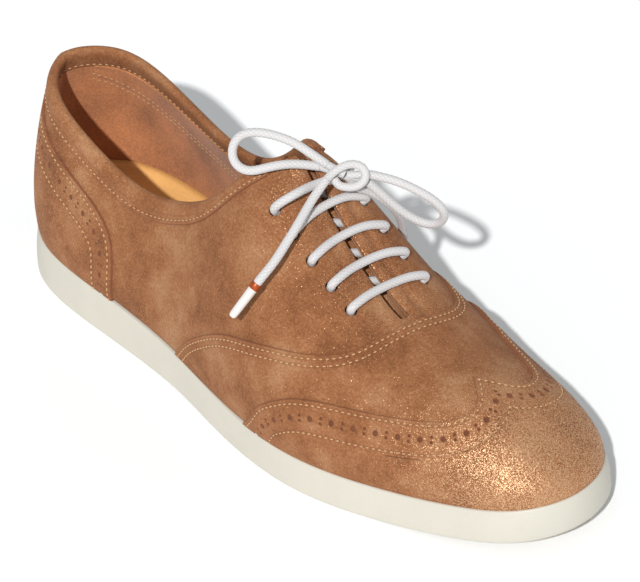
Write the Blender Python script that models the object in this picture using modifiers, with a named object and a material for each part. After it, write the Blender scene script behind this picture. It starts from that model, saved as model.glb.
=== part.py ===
"""Low lace-up dance shoe for the right foot: a wing-cap oxford on a flat unit sole.

Sizes are in millimetres in the last's own frame: the heel's back is at x = 0, the toe points
to +x, the lateral side is at -y and the floor at z = 0. The finished meshes are in metres, with
the origin under the middle of the shoe.
"""

import collections

import bmesh
import bpy
import numpy as np
from mathutils import Vector

MM = 0.001
ORIGIN_X = 135.0
ORIGIN_Y = 0.8
LATERAL, MEDIAL = -1, 1
SIDES = (LATERAL, MEDIAL)

# Sole
SOLE_LENGTH = 270.0
HEEL_THICKNESS = 16.5
FORE_THICKNESS = 12.5
HEEL_END = 0.2  # share of the length where the sole starts to thin
FORE_START = 0.6  # share of the length where the forefoot's thickness is reached
TOE_SPRING = 9.0
SPRING_START = 0.72
ARCH_LIFT = 0.8
ARCH_MIDDLE = 0.42
ARCH_HALF = 0.12
SOLE_FLARE = 1.4  # how far the floor edge stands outside the top edge
SOLE_EDGE = 1.2  # rounding of the floor edge
SOLE_TOP_EDGE = 0.4  # rounding of the top edge
TOE_SWING = 4.0  # how far the toe tip swings to the medial side
# Half widths of the sole at its floor edge
OUTLINE = (
    # station, lateral, medial
    (0.00, 0.0, 0.0),
    (0.04, 21.5, 21.0),
    (0.12, 31.0, 28.5),
    (0.24, 33.5, 27.5),
    (0.38, 36.0, 23.5),
    (0.52, 42.5, 31.5),
    (0.66, 45.0, 44.0),
    (0.78, 38.0, 41.5),
    (0.90, 28.0, 33.5),
    (0.97, 18.0, 21.5),
    (1.00, 0.0, 0.0),
)

# Last: each rib is one cubic curve from the sole's edge up to the ridge
RIDGE = (
    # x, y, z
    (38.0, 4.0, 100.0),
    (95.0, 4.0, 79.0),
    (128.0, 7.4, 89.8),
    (155.0, 5.2, 73.0),
    (182.0, 3.7, 54.8),
    (210.0, 2.6, 44.8),
    (234.0, 2.4, 41.0),
    (250.0, 2.8, 34.0),
)
RIBS = (
    # along, x at the ridge, inset, then bulge, rise and shoulder: lateral, medial
    (0.00, 40.0, 1.6, 7.0, 0.35, 0.80, 7.0, 0.35, 0.80),
    (0.14, 47.0, 1.6, 4.5, 0.27, 0.46, 7.0, 0.37, 0.68),
    (0.32, 84.0, 1.0, 3.6, 0.27, 0.32, 8.5, 0.43, 0.68),
    (0.48, 130.0, 1.4, 4.4, 0.33, 0.56, 7.8, 0.46, 1.00),
    (0.62, 171.0, 2.4, 4.7, 0.42, 0.74, 5.1, 0.44, 0.64),
    (0.76, 212.0, 2.8, 3.7, 0.44, 0.62, 3.8, 0.44, 0.56),
    (0.89, 238.0, 2.8, 1.8, 0.43, 0.56, 1.4, 0.45, 0.58),
    (1.00, 249.0, 2.8, 0.0, 0.42, 0.53, 0.0, 0.42, 0.53),
)
COLLAR = (
    # x, lateral height, medial height
    (3.0, 78.0, 78.0),
    (22.0, 72.7, 76.0),
    (48.0, 63.5, 69.0),
    (75.0, 57.7, 63.8),
    (98.0, 63.0, 65.0),
    (114.0, 74.1, 76.5),
    (124.0, 84.6, 86.0),
    (131.0, 88.8, 88.9),
    (138.0, 90.5, 90.5),
)
THROAT_HALF_GAP = 1.8
THROAT_END = 0.674  # along, where the slit closes
CORNER_HALF = 0.004  # along, half the width of the corner between collar and throat
PRESS = 2.2  # how far the lacing presses the throat down
PRESS_WIDTH = 10.0
PRESS_RUN = (134.0, 146.0, 180.0, 196.0)  # x where it starts, is full, and fades to its end

# Upper and its overlays
WALL = 1.8
GAP = 0.3
STEP = 0.9  # the vamp panel stands this far above the quarters
OVERLAY = 0.8
OVERLAY_GAP = 0.4
OVERLAY_FOOT = 0.02  # level of an overlay's lower edge, clear of the sole
BAND_WIDTH = 8.0
STAY_EDGE = 0.042  # along, front edge of the back stay
VAMP_EDGE = (
    # up, lateral along, medial along
    (0.00, 0.405, 0.447),
    (0.07, 0.419, 0.470),
    (0.15, 0.440, 0.498),
    (0.22, 0.470, 0.522),
    (0.29, 0.506, 0.547),
    (0.36, 0.545, 0.570),
    (0.44, 0.583, 0.602),
    (0.52, 0.617, 0.632),
    (0.60, 0.644, 0.658),
    (0.70, 0.666, 0.676),
    (0.85, 0.678, 0.684),
    (1.00, 0.683, 0.683),
)
WING_EDGE = (
    # up, along on both sides
    (0.00, 0.555),
    (0.08, 0.573),
    (0.18, 0.590),
    (0.27, 0.614),
    (0.34, 0.636),
    (0.40, 0.662),
    (0.45, 0.692),
    (0.49, 0.722),
    (0.53, 0.753),
    (0.57, 0.783),
    (0.62, 0.808),
    (0.70, 0.828),
    (0.80, 0.837),
    (0.89, 0.829),
    (0.95, 0.813),
    (1.00, 0.797),
)
COUNTER_TOP = (
    # lateral along, medial along, level of the top edge
    (0.050, 0.050, 0.430),
    (0.080, 0.070, 0.420),
    (0.160, 0.120, 0.400),
    (0.215, 0.178, 0.380),
    (0.246, 0.232, 0.350),
    (0.267, 0.269, 0.300),
    (0.279, 0.300, 0.200),
    (0.281, 0.309, 0.100),
)

# Insole and tongue
INSOLE_THICKNESS = 3.0
INSOLE_CLEARANCE = 1.4
TONGUE_THICKNESS = 1.6
TONGUE_BEND = 136.0  # x, where the tongue leaves the throat and runs on straight
TONGUE_SLOPE = -0.62
TONGUE_GAP_FRONT = 0.6
TONGUE_GAP = 4.0  # room under the facings for the lace
TONGUE_GAP_START = 185.0
TONGUE_WIDTHS = (
    # x, half width, from the front to the tip
    (199.0, 15.0),
    (185.0, 18.0),
    (160.0, 17.0),
    (146.0, 13.0),
    (139.0, 10.0),
    (134.0, 8.0),
    (131.5, 6.0),
)

# Eyelets and lace
EYELET_FIRST = 176.3
EYELET_PITCH = 9.2
EYELET_PAIRS = 5
EYELET_ROWS = (
    # x at the ridge, distance of the eyelets from the ridge: lateral, medial
    (139.5, 18.2, 12.0),
    (176.3, 15.0, 16.6),
)
EYELET_RADIUS = 2.3
LACE = 3.0  # diameter
LACE_LIFT = 0.5  # clear height over the facings
LACE_IN = 1.1  # how deep a bar's end sits in its eyelet
LACE_OUT = 0.75  # where it leaves the eyelet
KNOT = (150.2, 11.3, 86.6)
KNOT_RADII = (7.0, 6.5, 4.5)
LEAD_BEND = 142.0  # x, beside which a lead arches over its facing
LEAD_LIFT = {LATERAL: 3.5, MEDIAL: 0.0}  # clear height of the arch
LEAD_RIM = (-5.2, 6.2, -2.4)  # where a lead ends beside the knot
AGLET = 3.2  # diameter
AGLET_LENGTH = 13.0
# Routes of the bow: points chosen by hand, from the knot outwards
LOOP_LATERAL = (
    (145.2, 7.8, 90.0),
    (139.8, 5.1, 93.5),
    (134.6, 2.6, 96.3),
    (129.2, -1.0, 98.4),
    (123.9, -5.4, 99.3),
    (120.8, -9.0, 98.1),
    (119.9, -12.0, 94.2),
    (122.1, -13.0, 89.9),
    (126.0, -11.8, 88.2),
    (130.9, -7.9, 89.3),
    (136.0, -1.2, 90.2),
    (142.2, 6.8, 88.4),
)
LOOP_MEDIAL = (
    (155.3, 18.0, 86.0),
    (159.6, 21.4, 84.9),
    (164.0, 24.9, 83.0),
    (168.0, 28.6, 79.9),
    (171.3, 32.0, 76.1),
    (172.9, 34.2, 71.5),
    (171.1, 34.5, 66.9),
    (167.1, 32.7, 64.7),
    (163.1, 29.6, 66.3),
    (159.9, 25.9, 70.4),
    (157.0, 21.8, 76.4),
    (154.1, 17.2, 83.1),
)
END_LATERAL = (
    (149.2, 3.8, 87.9),
    (150.3, -3.6, 83.8),
    (152.9, -11.9, 79.9),
    (154.7, -19.4, 75.9),
    (155.7, -26.5, 71.5),
    (154.9, -31.2, 67.6),
    (154.3, -33.0, 65.6),
)
END_MEDIAL = (
    (152.0, 15.0, 80.6),
    (152.6, 18.6, 78.0),
    (154.2, 22.3, 74.6),
    (155.4, 25.6, 70.4),
    (154.6, 29.5, 64.5),
    (151.5, 33.5, 56.5),
    (148.5, 36.5, 48.0),
    (146.5, 38.0, 42.0),
)

# Facets
OUTLINE_COLUMNS = 44
QUARTER_COLUMNS = 24
VAMP_COLUMNS = 17
WING_COLUMNS = 20
COUNTER_COLUMNS = 12
COUNTER_ROWS = 8
BAND_COLUMNS = 26
BAND_ROWS = 2
STAY_COLUMNS = 3
TONGUE_ROWS = 12
TONGUE_COLUMNS = 4
WALL_ROWS = 9
HEEL_CROWDING = 1.25  # above 1, columns stand closer at the heel
TOE_CROWDING = 1.1  # above 1, columns stand closer at the toe
FINE = 241  # samples along a rib where an edge is looked for
CORD_STEP = 2.4 * LACE
WELD = 0.02

COLOURS = {
    # name: red, green, blue (linear), roughness
    "bronze suede": (0.36, 0.17, 0.075, 0.85),
    "cream rubber": (0.80, 0.75, 0.63, 0.55),
    "tan leather": (0.62, 0.33, 0.09, 0.6),
    "white cotton": (0.83, 0.82, 0.80, 0.9),
    "clear aglet": (0.75, 0.73, 0.70, 0.3),
}


def spline(x, y):
    """A natural cubic spline through the points (x, y)."""
    x = np.asarray(x, float)
    y = np.asarray(y, float)
    step = np.diff(x)
    slope = np.diff(y) / step
    matrix = np.eye(len(x))
    right = np.zeros(len(x))
    for i in range(1, len(x) - 1):
        matrix[i, i - 1 : i + 2] = step[i - 1], 2 * (step[i - 1] + step[i]), step[i]
        right[i] = 6 * (slope[i] - slope[i - 1])
    bend = np.linalg.solve(matrix, right)

    def value(q):
        q = np.clip(np.asarray(q, float), x[0], x[-1])
        i = np.clip(np.searchsorted(x, q) - 1, 0, len(x) - 2)
        a = (x[i + 1] - q) / step[i]
        b = 1 - a
        curve = (a**3 - a) * bend[i] + (b**3 - b) * bend[i + 1]
        return a * y[i] + b * y[i + 1] + curve * step[i] ** 2 / 6

    return value


def column(table, i):
    return np.array([row[i] for row in table])


def run_length(points):
    """Distance along a line of points, from its first point."""
    return np.concatenate([[0], np.cumsum(np.linalg.norm(np.diff(points, axis=0), axis=1))])


def half_outlines():
    """Both halves of the sole's outline from heel to toe: share of the length, points, inward."""
    station, lateral, medial = (column(OUTLINE, i) for i in range(3))
    x = np.concatenate([station, station[-2:0:-1]]) * SOLE_LENGTH
    y = np.concatenate([-lateral, medial[-2:0:-1]]) + TOE_SWING * (x / SOLE_LENGTH) ** 3
    wrap = 4
    ring = np.stack([x, y], 1)
    ring = np.vstack([ring[-wrap:], ring, ring[: wrap + 1]])
    chord = np.sqrt(np.linalg.norm(np.diff(ring, axis=0), axis=1))
    at = np.concatenate([[0], np.cumsum(chord)])
    run_x = spline(at, ring[:, 0])
    run_y = spline(at, ring[:, 1])
    toe = at[wrap + len(station) - 1]
    halves = {}
    for side, heel in ((LATERAL, at[wrap]), (MEDIAL, at[wrap + len(x)])):
        u = np.linspace(heel, toe, 801)
        line = np.stack([run_x(u), run_y(u)], 1)
        tangent = np.gradient(line, axis=0)
        tangent /= np.linalg.norm(tangent, axis=1)[:, None]
        inward = np.stack([tangent[:, 1], -tangent[:, 0]], 1) * side
        inward[0] = 1, 0
        inward[-1] = -1, 0
        length = run_length(line)
        halves[side] = length / length[-1], line, inward
    return halves


HALVES = half_outlines()
RIDGE_Y = spline(column(RIDGE, 0), column(RIDGE, 1))
RIDGE_Z = spline(column(RIDGE, 0), column(RIDGE, 2))
RIB = [spline(column(RIBS, 0), column(RIBS, i)) for i in range(len(RIBS[0]))]
COLLAR_Z = {side: spline(column(COLLAR, 0), column(COLLAR, i)) for i, side in ((1, LATERAL), (2, MEDIAL))}


def on_outline(side, along, inset):
    """Plan points on the sole's outline, moved inward by inset."""
    at, line, inward = HALVES[side]
    axes = [
        np.interp(along, at, line[:, i]) + inset * np.interp(along, at, inward[:, i]) for i in (0, 1)
    ]
    return np.stack(axes, -1)


def ease(q):
    q = np.clip(q, 0, 1)
    return q * q * (3 - 2 * q)


def spring(x):
    return TOE_SPRING * np.clip((x / SOLE_LENGTH - SPRING_START) / (1 - SPRING_START), 0, 1) ** 2


def sole_top(x):
    thinning = ease((x / SOLE_LENGTH - HEEL_END) / (FORE_START - HEEL_END))
    return HEEL_THICKNESS + (FORE_THICKNESS - HEEL_THICKNESS) * thinning + spring(x)


def sole_bottom(x):
    arch = np.clip(1 - np.abs(x / SOLE_LENGTH - ARCH_MIDDLE) / ARCH_HALF, 0, 1)
    return ARCH_LIFT * ease(arch) + spring(x)


def last(side, along, up):
    """Points of the last: along runs from heel to toe, up from the sole's edge to the ridge."""
    along, up = np.broadcast_arrays(np.asarray(along, float), np.asarray(up, float))
    at_ridge = RIB[1](along)
    first = 3 if side == LATERAL else 6
    bulge, rise, shoulder = (RIB[first + i](along) for i in range(3))
    foot = on_outline(side, along, SOLE_FLARE + RIB[2](along))
    foot_z = sole_top(foot[..., 0]) + GAP
    top = np.stack([at_ridge, RIDGE_Y(at_ridge)], -1)
    top_z = RIDGE_Z(at_ridge)
    ridge_slope = RIDGE_Z(at_ridge + 0.5) - RIDGE_Z(at_ridge - 0.5)
    reach = np.linalg.norm(top - foot, axis=-1, keepdims=True)
    inward = (top - foot) / reach
    low = foot - inward * bulge[..., None]
    low_z = foot_z + rise * (top_z - foot_z)
    high = top - inward * reach * shoulder[..., None]
    high_z = top_z + ridge_slope * (high[..., 0] - at_ridge)
    weights = (1 - up) ** 3, 3 * up * (1 - up) ** 2, 3 * up**2 * (1 - up), up**3
    plan = sum(w[..., None] * p for w, p in zip(weights, (foot, low, high, top)))
    z = sum(w * p for w, p in zip(weights, (foot_z, low_z, high_z, top_z)))
    return np.concatenate([plan, z[..., None]], -1)


def outward(side, along, up):
    """Unit normals of the last, pointing out of the shoe."""
    d = 0.004
    along, up = np.broadcast_arrays(np.asarray(along, float), np.asarray(up, float))
    middle = np.clip(along, d, 1 - 2 * d)
    level = np.clip(up, d, 1 - 4 * d)
    run = last(side, middle + d, level) - last(side, middle - d, level)
    climb = last(side, middle, level + d) - last(side, middle, level - d)
    normal = np.cross(run, climb) * -side
    normal /= np.linalg.norm(normal, axis=-1, keepdims=True)
    ends = ((along < d) | (along > 1 - d))[..., None]
    flat = normal * (1, 0, 1)
    return np.where(ends, flat / np.linalg.norm(flat, axis=-1, keepdims=True), normal)


def pressed(points):
    """How far the lacing presses points of the last down."""
    x = points[..., 0]
    start, full, fade, end = PRESS_RUN
    run = ease((x - start) / (full - start)) * ease((end - x) / (end - fade))
    return PRESS * run * np.exp(-(((points[..., 1] - RIDGE_Y(x)) / PRESS_WIDTH) ** 2))


def wall(side, along, up, offset):
    """Points at an offset outside the last, where the lacing has pressed it."""
    points = last(side, along, up)
    away = np.asarray(offset - pressed(points))
    return points + away[..., None] * outward(side, along, up)


def first_rise(values, levels):
    """The level where the values first turn positive, or 1."""
    hit = np.flatnonzero((values[:-1] < 0) & (values[1:] >= 0))
    if not len(hit):
        return 1.0
    i = hit[0]
    share = values[i] / (values[i] - values[i + 1])
    return levels[i] + share * (levels[i + 1] - levels[i])


def opening(side, along):
    """How far up a rib the upper goes: to the collar, to the throat's edge or to the ridge."""
    levels = np.linspace(0, 1, FINE)
    tops = []
    for at in np.atleast_1d(along):
        rib = last(side, at, levels)
        collar = first_rise(rib[:, 2] - COLLAR_Z[side](rib[:, 0]), levels)
        throat = 1.0
        if at <= THROAT_END:
            throat = first_rise(THROAT_HALF_GAP - np.abs(rib[:, 1] - RIDGE_Y(rib[:, 0])), levels)
        tops.append(min(collar, throat))
    return np.array(tops)


def below_opening(side, along, distance):
    """How far up a rib a point lies that is the given distance below the opening's edge."""
    found = []
    for at, top in zip(np.atleast_1d(along), opening(side, along)):
        levels = np.linspace(0, top, FINE)
        length = run_length(last(side, at, levels))
        found.append(np.interp(length[-1] - distance, length, levels))
    return np.array(found)


def throat_corner():
    """Along, where the collar's edge turns into the throat's."""
    tries = np.linspace(0.40, 0.56, 161)
    edge = last(LATERAL, tries, opening(LATERAL, tries))
    at_slit = np.abs(edge[:, 1] - RIDGE_Y(edge[:, 0])) < THROAT_HALF_GAP + 0.05
    return tries[np.argmax(at_slit)]


def ridge_along(x):
    """Along of the rib that meets the ridge at x."""
    tries = np.linspace(0, 1, 1001)
    return np.interp(x, RIB[1](tries), tries)


def level_at(side, along, distance):
    """How far up a rib its point lies that is the given distance to the side of the ridge."""
    levels = np.linspace(0.3, 1, FINE)
    rib = last(side, along, levels)
    return np.interp(-distance, -np.abs(rib[:, 1] - RIDGE_Y(rib[:, 0])), levels)


def share_seams(grids):
    """Makes the lateral and medial grids meet exactly along the heel's and toe's centre lines."""
    for at in (0, -1):
        middle = (grids[LATERAL][:, at] + grids[MEDIAL][:, at]) / 2
        if np.abs(grids[LATERAL][:, at] - grids[MEDIAL][:, at]).max() < 1:
            grids[LATERAL][:, at] = grids[MEDIAL][:, at] = middle
    return grids


def material(name):
    if name in bpy.data.materials:
        return bpy.data.materials[name]
    red, green, blue, roughness = COLOURS[name]
    made = bpy.data.materials.new(name)
    made.use_nodes = True
    shader = made.node_tree.nodes["Principled BSDF"]
    shader.inputs["Base Color"].default_value = (red, green, blue, 1)
    shader.inputs["Roughness"].default_value = roughness
    shader.inputs["Metallic"].default_value = 0.0
    return made


def placed(points):
    return (np.asarray(points) - (ORIGIN_X, ORIGIN_Y, 0)) * MM


def add_object(name, data, look, collection):
    made = bpy.data.objects.new(name, data)
    collection.objects.link(made)
    data.materials.append(material(look))
    return made


def mesh_from(name, points, faces):
    """A mesh of the given faces, with points that coincide welded."""
    bm = bmesh.new()
    verts = [bm.verts.new(p) for p in placed(points)]
    for face in faces:
        bm.faces.new([verts[i] for i in face])
    bmesh.ops.remove_doubles(bm, verts=bm.verts, dist=WELD * MM)
    bmesh.ops.dissolve_degenerate(bm, edges=bm.edges, dist=WELD * MM)
    data = bpy.data.meshes.new(name)
    bm.to_mesh(data)
    bm.free()
    data.shade_smooth()
    return data


def grid_faces(rows, columns, start, flip):
    faces = []
    for r in range(rows - 1):
        for c in range(columns - 1):
            a = start + r * columns + c
            face = [a, a + 1, a + columns + 1, a + columns]
            faces.append(face[::-1] if flip else face)
    return faces


def sheet(name, grids, thickness, outside, look, collection):
    """Both sides' grids joined into one open surface, with a wall from Solidify out of it or into it."""
    points = []
    faces = []
    for side in SIDES:
        rows, columns = grids[side].shape[:2]
        faces += grid_faces(rows, columns, len(points), side == MEDIAL)
        points += list(grids[side].reshape(-1, 3))
    made = add_object(name, mesh_from(name, points, faces), look, collection)
    solidify = made.modifiers.new("Wall", "SOLIDIFY")
    solidify.thickness = thickness * MM
    solidify.offset = 1 if outside else -1
    solidify.use_even_offset = True


def shell(name, outer, inner, look, collection):
    """A closed wall lofted between an outer and an inner set of grids that share one layout.

    Solidify keeps one thickness, and this wall is thicker where a panel stands up from it.
    """
    points = []
    backs = []
    faces = []
    for side in SIDES:
        rows, columns = outer[side].shape[:2]
        faces += grid_faces(rows, columns, len(points), side == MEDIAL)
        points += list(outer[side].reshape(-1, 3))
        backs += list(inner[side].reshape(-1, 3))
    fronts, index = np.unique(np.round(points, 4), axis=0, return_inverse=True)
    index = index.reshape(-1)
    count = len(fronts)
    sums = np.zeros((count, 3))
    np.add.at(sums, index, backs)
    backs = sums / np.bincount(index)[:, None]
    faces = [list(dict.fromkeys(index[face])) for face in faces]
    faces = [face for face in faces if len(face) > 2]
    edges = collections.Counter((a, b) for face in faces for a, b in zip(face, face[1:] + face[:1]))
    rims = [(b, a, a + count, b + count) for a, b in edges if (b, a) not in edges]
    behind = [[i + count for i in reversed(face)] for face in faces]
    data = mesh_from(name, np.vstack([fronts, backs]), faces + behind + rims)
    return add_object(name, data, look, collection)


def outline_ring(inset, height):
    """One ring round the shoe: lateral side from heel to toe, then medial side back."""
    along = np.linspace(0, 1, OUTLINE_COLUMNS + 1)
    rings = []
    for side in SIDES:
        plan = on_outline(side, along, inset(along))
        rings.append(np.column_stack([plan, height(plan[:, 0])]))
    return np.vstack([rings[0], rings[1][-2:0:-1]])


def loft(name, rings, look, collection):
    """A closed solid through rings of equal count, capped by cross strips at both ends."""
    count = len(rings[0])
    half = OUTLINE_COLUMNS
    faces = []
    for r in range(len(rings) - 1):
        for i in range(count):
            a, b = r * count + i, r * count + (i + 1) % count
            faces.append([a, b, b + count, a + count])
    for start, flip in ((0, True), ((len(rings) - 1) * count, False)):
        for i in range(half):
            strip = [i, i + 1, (count - i - 1) % count, (count - i) % count]
            strip = [start + k for k in dict.fromkeys(strip)]
            faces.append(strip[::-1] if flip else strip)
    return add_object(name, mesh_from(name, np.vstack(rings), faces), look, collection)


def make_sole(collection):
    def flat(inset):
        return lambda along: np.full_like(along, inset)

    rings = [
        outline_ring(flat(SOLE_EDGE), sole_bottom),
        outline_ring(flat(0.3 * SOLE_EDGE), lambda x: sole_bottom(x) + 0.3 * SOLE_EDGE),
        outline_ring(flat(0), lambda x: sole_bottom(x) + SOLE_EDGE),
        outline_ring(flat(SOLE_FLARE), lambda x: sole_top(x) - SOLE_TOP_EDGE),
        outline_ring(flat(SOLE_FLARE + SOLE_TOP_EDGE), sole_top),
    ]
    loft("sole", rings, "cream rubber", collection)


def make_insole(collection):
    def inside(along):
        return SOLE_FLARE + RIB[2](along) + WALL + INSOLE_CLEARANCE

    rings = [outline_ring(inside, lambda x, up=up: sole_top(x) + GAP + up) for up in (0, INSOLE_THICKNESS)]
    loft("insole", rings, "tan leather", collection)


def vamp_edge(side, up):
    """Along of the vamp's edge at the given level of the rib."""
    return np.interp(up, column(VAMP_EDGE, 0), column(VAMP_EDGE, 1 if side == LATERAL else 2))


def to_toe(start, columns):
    """Along, from the start to the toe, with columns that crowd towards the toe."""
    return 1 - (1 - start) * np.linspace(1, 0, columns + 1) ** TOE_CROWDING


def upper_grid(side, quarter_offset, vamp_offset):
    """Quarters, then the vamp, as rows from the sole's edge to the opening."""
    corner = throat_corner()
    vamp_top = VAMP_EDGE[-1][1]
    shares = np.linspace(0, 1, QUARTER_COLUMNS + 1) ** HEEL_CROWDING
    for landmark in (corner - CORNER_HALF, corner + CORNER_HALF, THROAT_END):
        shares[np.argmin(np.abs(shares - landmark / vamp_top))] = landmark / vamp_top
    rows = []
    for height in np.linspace(0, 1, WALL_ROWS + 1):
        seam = vamp_edge(side, height)
        quarter = shares * seam
        vamp = to_toe(seam, VAMP_COLUMNS)
        back = wall(side, quarter, height * opening(side, quarter), quarter_offset)
        front = wall(side, vamp, height * opening(side, vamp), vamp_offset)
        rows.append(np.vstack([back, front]))
    grid = np.array(rows)
    grid[0, :, 2] = sole_top(grid[0, :, 0]) + GAP
    return grid


def eyelet_row(side, x):
    """Distance of the eyelets from the ridge, beside its point at x."""
    return np.interp(x, column(EYELET_ROWS, 0), column(EYELET_ROWS, 1 if side == LATERAL else 2))


def eyelet(side, pair):
    """Middle of an eyelet and the direction of its hole."""
    x = EYELET_FIRST - pair * EYELET_PITCH
    along = ridge_along(x)
    up = level_at(side, along, eyelet_row(side, x))
    return last(side, along, up), outward(side, along, up)


def make_eyelet_cutter(collection):
    bm = bmesh.new()
    for side in SIDES:
        for pair in range(EYELET_PAIRS):
            point, direction = eyelet(side, pair)
            turn = Vector(direction).to_track_quat("Z", "Y").to_matrix().to_4x4()
            turn.translation = placed(point)
            bmesh.ops.create_cone(
                bm,
                cap_ends=True,
                segments=12,
                radius1=EYELET_RADIUS * MM,
                radius2=EYELET_RADIUS * MM,
                depth=5 * WALL * MM,
                matrix=turn,
            )
    data = bpy.data.meshes.new("eyelet_cutter")
    bm.to_mesh(data)
    bm.free()
    cutter = add_object("eyelet_cutter", data, "tan leather", collection)
    cutter.hide_render = True
    cutter.display_type = "WIRE"
    return cutter


def meet_at_ridge(grids, first):
    """Makes both sides share the ridge line, from the given column on."""
    middle = (grids[LATERAL][-1, first:] + grids[MEDIAL][-1, first:]) / 2
    grids[LATERAL][-1, first:] = grids[MEDIAL][-1, first:] = middle


def make_upper(collection, cutters):
    """Both quarters, and the vamp that stands one step above them."""
    outer = share_seams({side: upper_grid(side, 0, STEP) for side in SIDES})
    inner = share_seams({side: upper_grid(side, -WALL, -WALL) for side in SIDES})
    for grids in (outer, inner):
        meet_at_ridge(grids, QUARTER_COLUMNS)
    upper = shell("upper", outer, inner, "bronze suede", collection)
    cut = upper.modifiers.new("Eyelets", "BOOLEAN")
    cut.operation = "DIFFERENCE"
    cut.object = make_eyelet_cutter(cutters)


def overlay_grids(along, up, lift):
    """Each side's grid of points above the upper, from its places along the last and up the ribs."""
    return share_seams({side: wall(side, along[side], up[side], lift) for side in SIDES})


def make_wing_cap(collection):
    rows = np.array([to_toe(start, WING_COLUMNS) for start in column(WING_EDGE, 1)])
    levels = np.maximum(column(WING_EDGE, 0), OVERLAY_FOOT)[:, None]
    along = {side: rows for side in SIDES}
    up = {side: levels for side in SIDES}
    grids = overlay_grids(along, up, STEP + OVERLAY_GAP)
    meet_at_ridge(grids, 0)
    sheet("wing_cap", grids, OVERLAY, True, "bronze suede", collection)


def make_heel_counter(collection):
    """The counter's side wings, and the back stay that runs on up to the collar band."""
    stay = np.linspace(0, STAY_EDGE, STAY_COLUMNS + 1)
    shares = np.linspace(0, 1, COUNTER_ROWS + 1)
    along = {}
    up = {}
    for side in SIDES:
        reach = column(COUNTER_TOP, 0 if side == LATERAL else 1)
        wing = np.concatenate([np.linspace(reach[0], reach[-3], COUNTER_COLUMNS), reach[-2:]])
        wing_top = np.interp(wing, reach, column(COUNTER_TOP, 2))
        stay_top = below_opening(side, stay, BAND_WIDTH + GAP)
        along[side] = np.concatenate([stay, wing])
        top = np.concatenate([stay_top, wing_top])
        up[side] = np.maximum(shares[:, None] * top, OVERLAY_FOOT)
    grids = overlay_grids(along, up, OVERLAY_GAP)
    sheet("heel_counter", grids, OVERLAY, True, "bronze suede", collection)


def make_collar_band(collection):
    line = np.linspace(0, throat_corner() - 1.5 * CORNER_HALF, BAND_COLUMNS + 1)
    along = {side: line for side in SIDES}
    depths = np.linspace(BAND_WIDTH, 0, BAND_ROWS + 1)
    up = {side: np.array([below_opening(side, line, depth) for depth in depths]) for side in SIDES}
    grids = overlay_grids(along, up, OVERLAY_GAP)
    sheet("collar_band", grids, OVERLAY, True, "bronze suede", collection)


def tongue_grid(side):
    """Rows from the front end to the tip, each from the ridge to the tongue's edge."""
    front = TONGUE_WIDTHS[0][0]
    tip = TONGUE_WIDTHS[-1][0]
    rows = []
    for x in np.linspace(front, tip, TONGUE_ROWS + 1):
        half = np.interp(-x, -column(TONGUE_WIDTHS, 0), column(TONGUE_WIDTHS, 1))
        bend = max(x, TONGUE_BEND)
        along = ridge_along(bend)
        reach = half * np.linspace(0, 1, TONGUE_COLUMNS + 1)
        ups = np.array([level_at(side, along, distance) for distance in reach])
        ups[0] = 1
        room = np.interp(bend, (TONGUE_GAP_START, front), (TONGUE_GAP, TONGUE_GAP_FRONT))
        line = wall(side, along, ups, -(WALL + room))
        line[0, 1] = RIDGE_Y(bend)
        past = x - bend
        rows.append(line + np.array([past, 0, TONGUE_SLOPE * past]))
    return np.array(rows).transpose(1, 0, 2)[::-1, ::-1]


def make_tongue(collection):
    """A sheet under the throat that follows the upper, then runs on straight to its tip."""
    grids = {side: tongue_grid(side) for side in SIDES}
    meet_at_ridge(grids, 0)
    sheet("tongue", grids, TONGUE_THICKNESS, False, "bronze suede", collection)


def smooth_route(points, step):
    """Evenly spaced points on a smooth curve through the route's points."""
    points = np.asarray(points, float)
    at = run_length(points)
    runs = [spline(at, points[:, i]) for i in range(3)]
    fine = np.linspace(0, at[-1], 400)
    line = np.stack([run(fine) for run in runs], 1)
    length = run_length(line)
    count = max(3, round(length[-1] / step) + 1)
    even = np.linspace(0, length[-1], count)
    return np.stack([np.interp(even, length, line[:, i]) for i in range(3)], 1)


def tube(name, points, diameter, look, collection):
    """A round cord along the points, with closed ends."""
    curve = bpy.data.curves.new(name, "CURVE")
    curve.dimensions = "3D"
    curve.bevel_depth = diameter / 2 * MM
    curve.bevel_resolution = 2
    curve.use_fill_caps = True
    line = curve.splines.new("POLY")
    line.points.add(len(points) - 1)
    for point, place in zip(line.points, placed(points)):
        point.co = (*place, 1)
    return add_object(name, curve, look, collection)


def lace_height():
    return LACE / 2 + LACE_LIFT


def make_lace_bar(pair, collection):
    """A straight bar over the throat, from inside one eyelet to inside the other."""
    x = EYELET_FIRST - pair * EYELET_PITCH
    along = ridge_along(x)
    route = []
    for side in SIDES:
        point, direction = eyelet(side, pair)
        half = [point - LACE_IN * direction, point + LACE_OUT * direction]
        for share in (0.8, 0.4):
            up = level_at(side, along, share * eyelet_row(side, x))
            half.append(wall(side, along, up, lace_height()))
        route += half if side == LATERAL else half[::-1]
    tube(f"lace_bar_{pair + 1}", smooth_route(route, LACE), LACE, "white cotton", collection)


def make_lace_lead(side, name, collection):
    """The lace from a top eyelet over the facing and up to the knot."""
    point, direction = eyelet(side, EYELET_PAIRS - 1)
    along = ridge_along(LEAD_BEND)
    up = level_at(side, along, 0.7 * eyelet_row(side, LEAD_BEND))
    over = wall(side, along, up, lace_height() + LEAD_LIFT[side])
    rim = np.array(KNOT) + np.array(LEAD_RIM) * (1, side, 1)
    route = [point - LACE_IN * direction, point + LACE_OUT * direction, over, rim]
    tube(name, smooth_route(route, LACE), LACE, "white cotton", collection)


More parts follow.
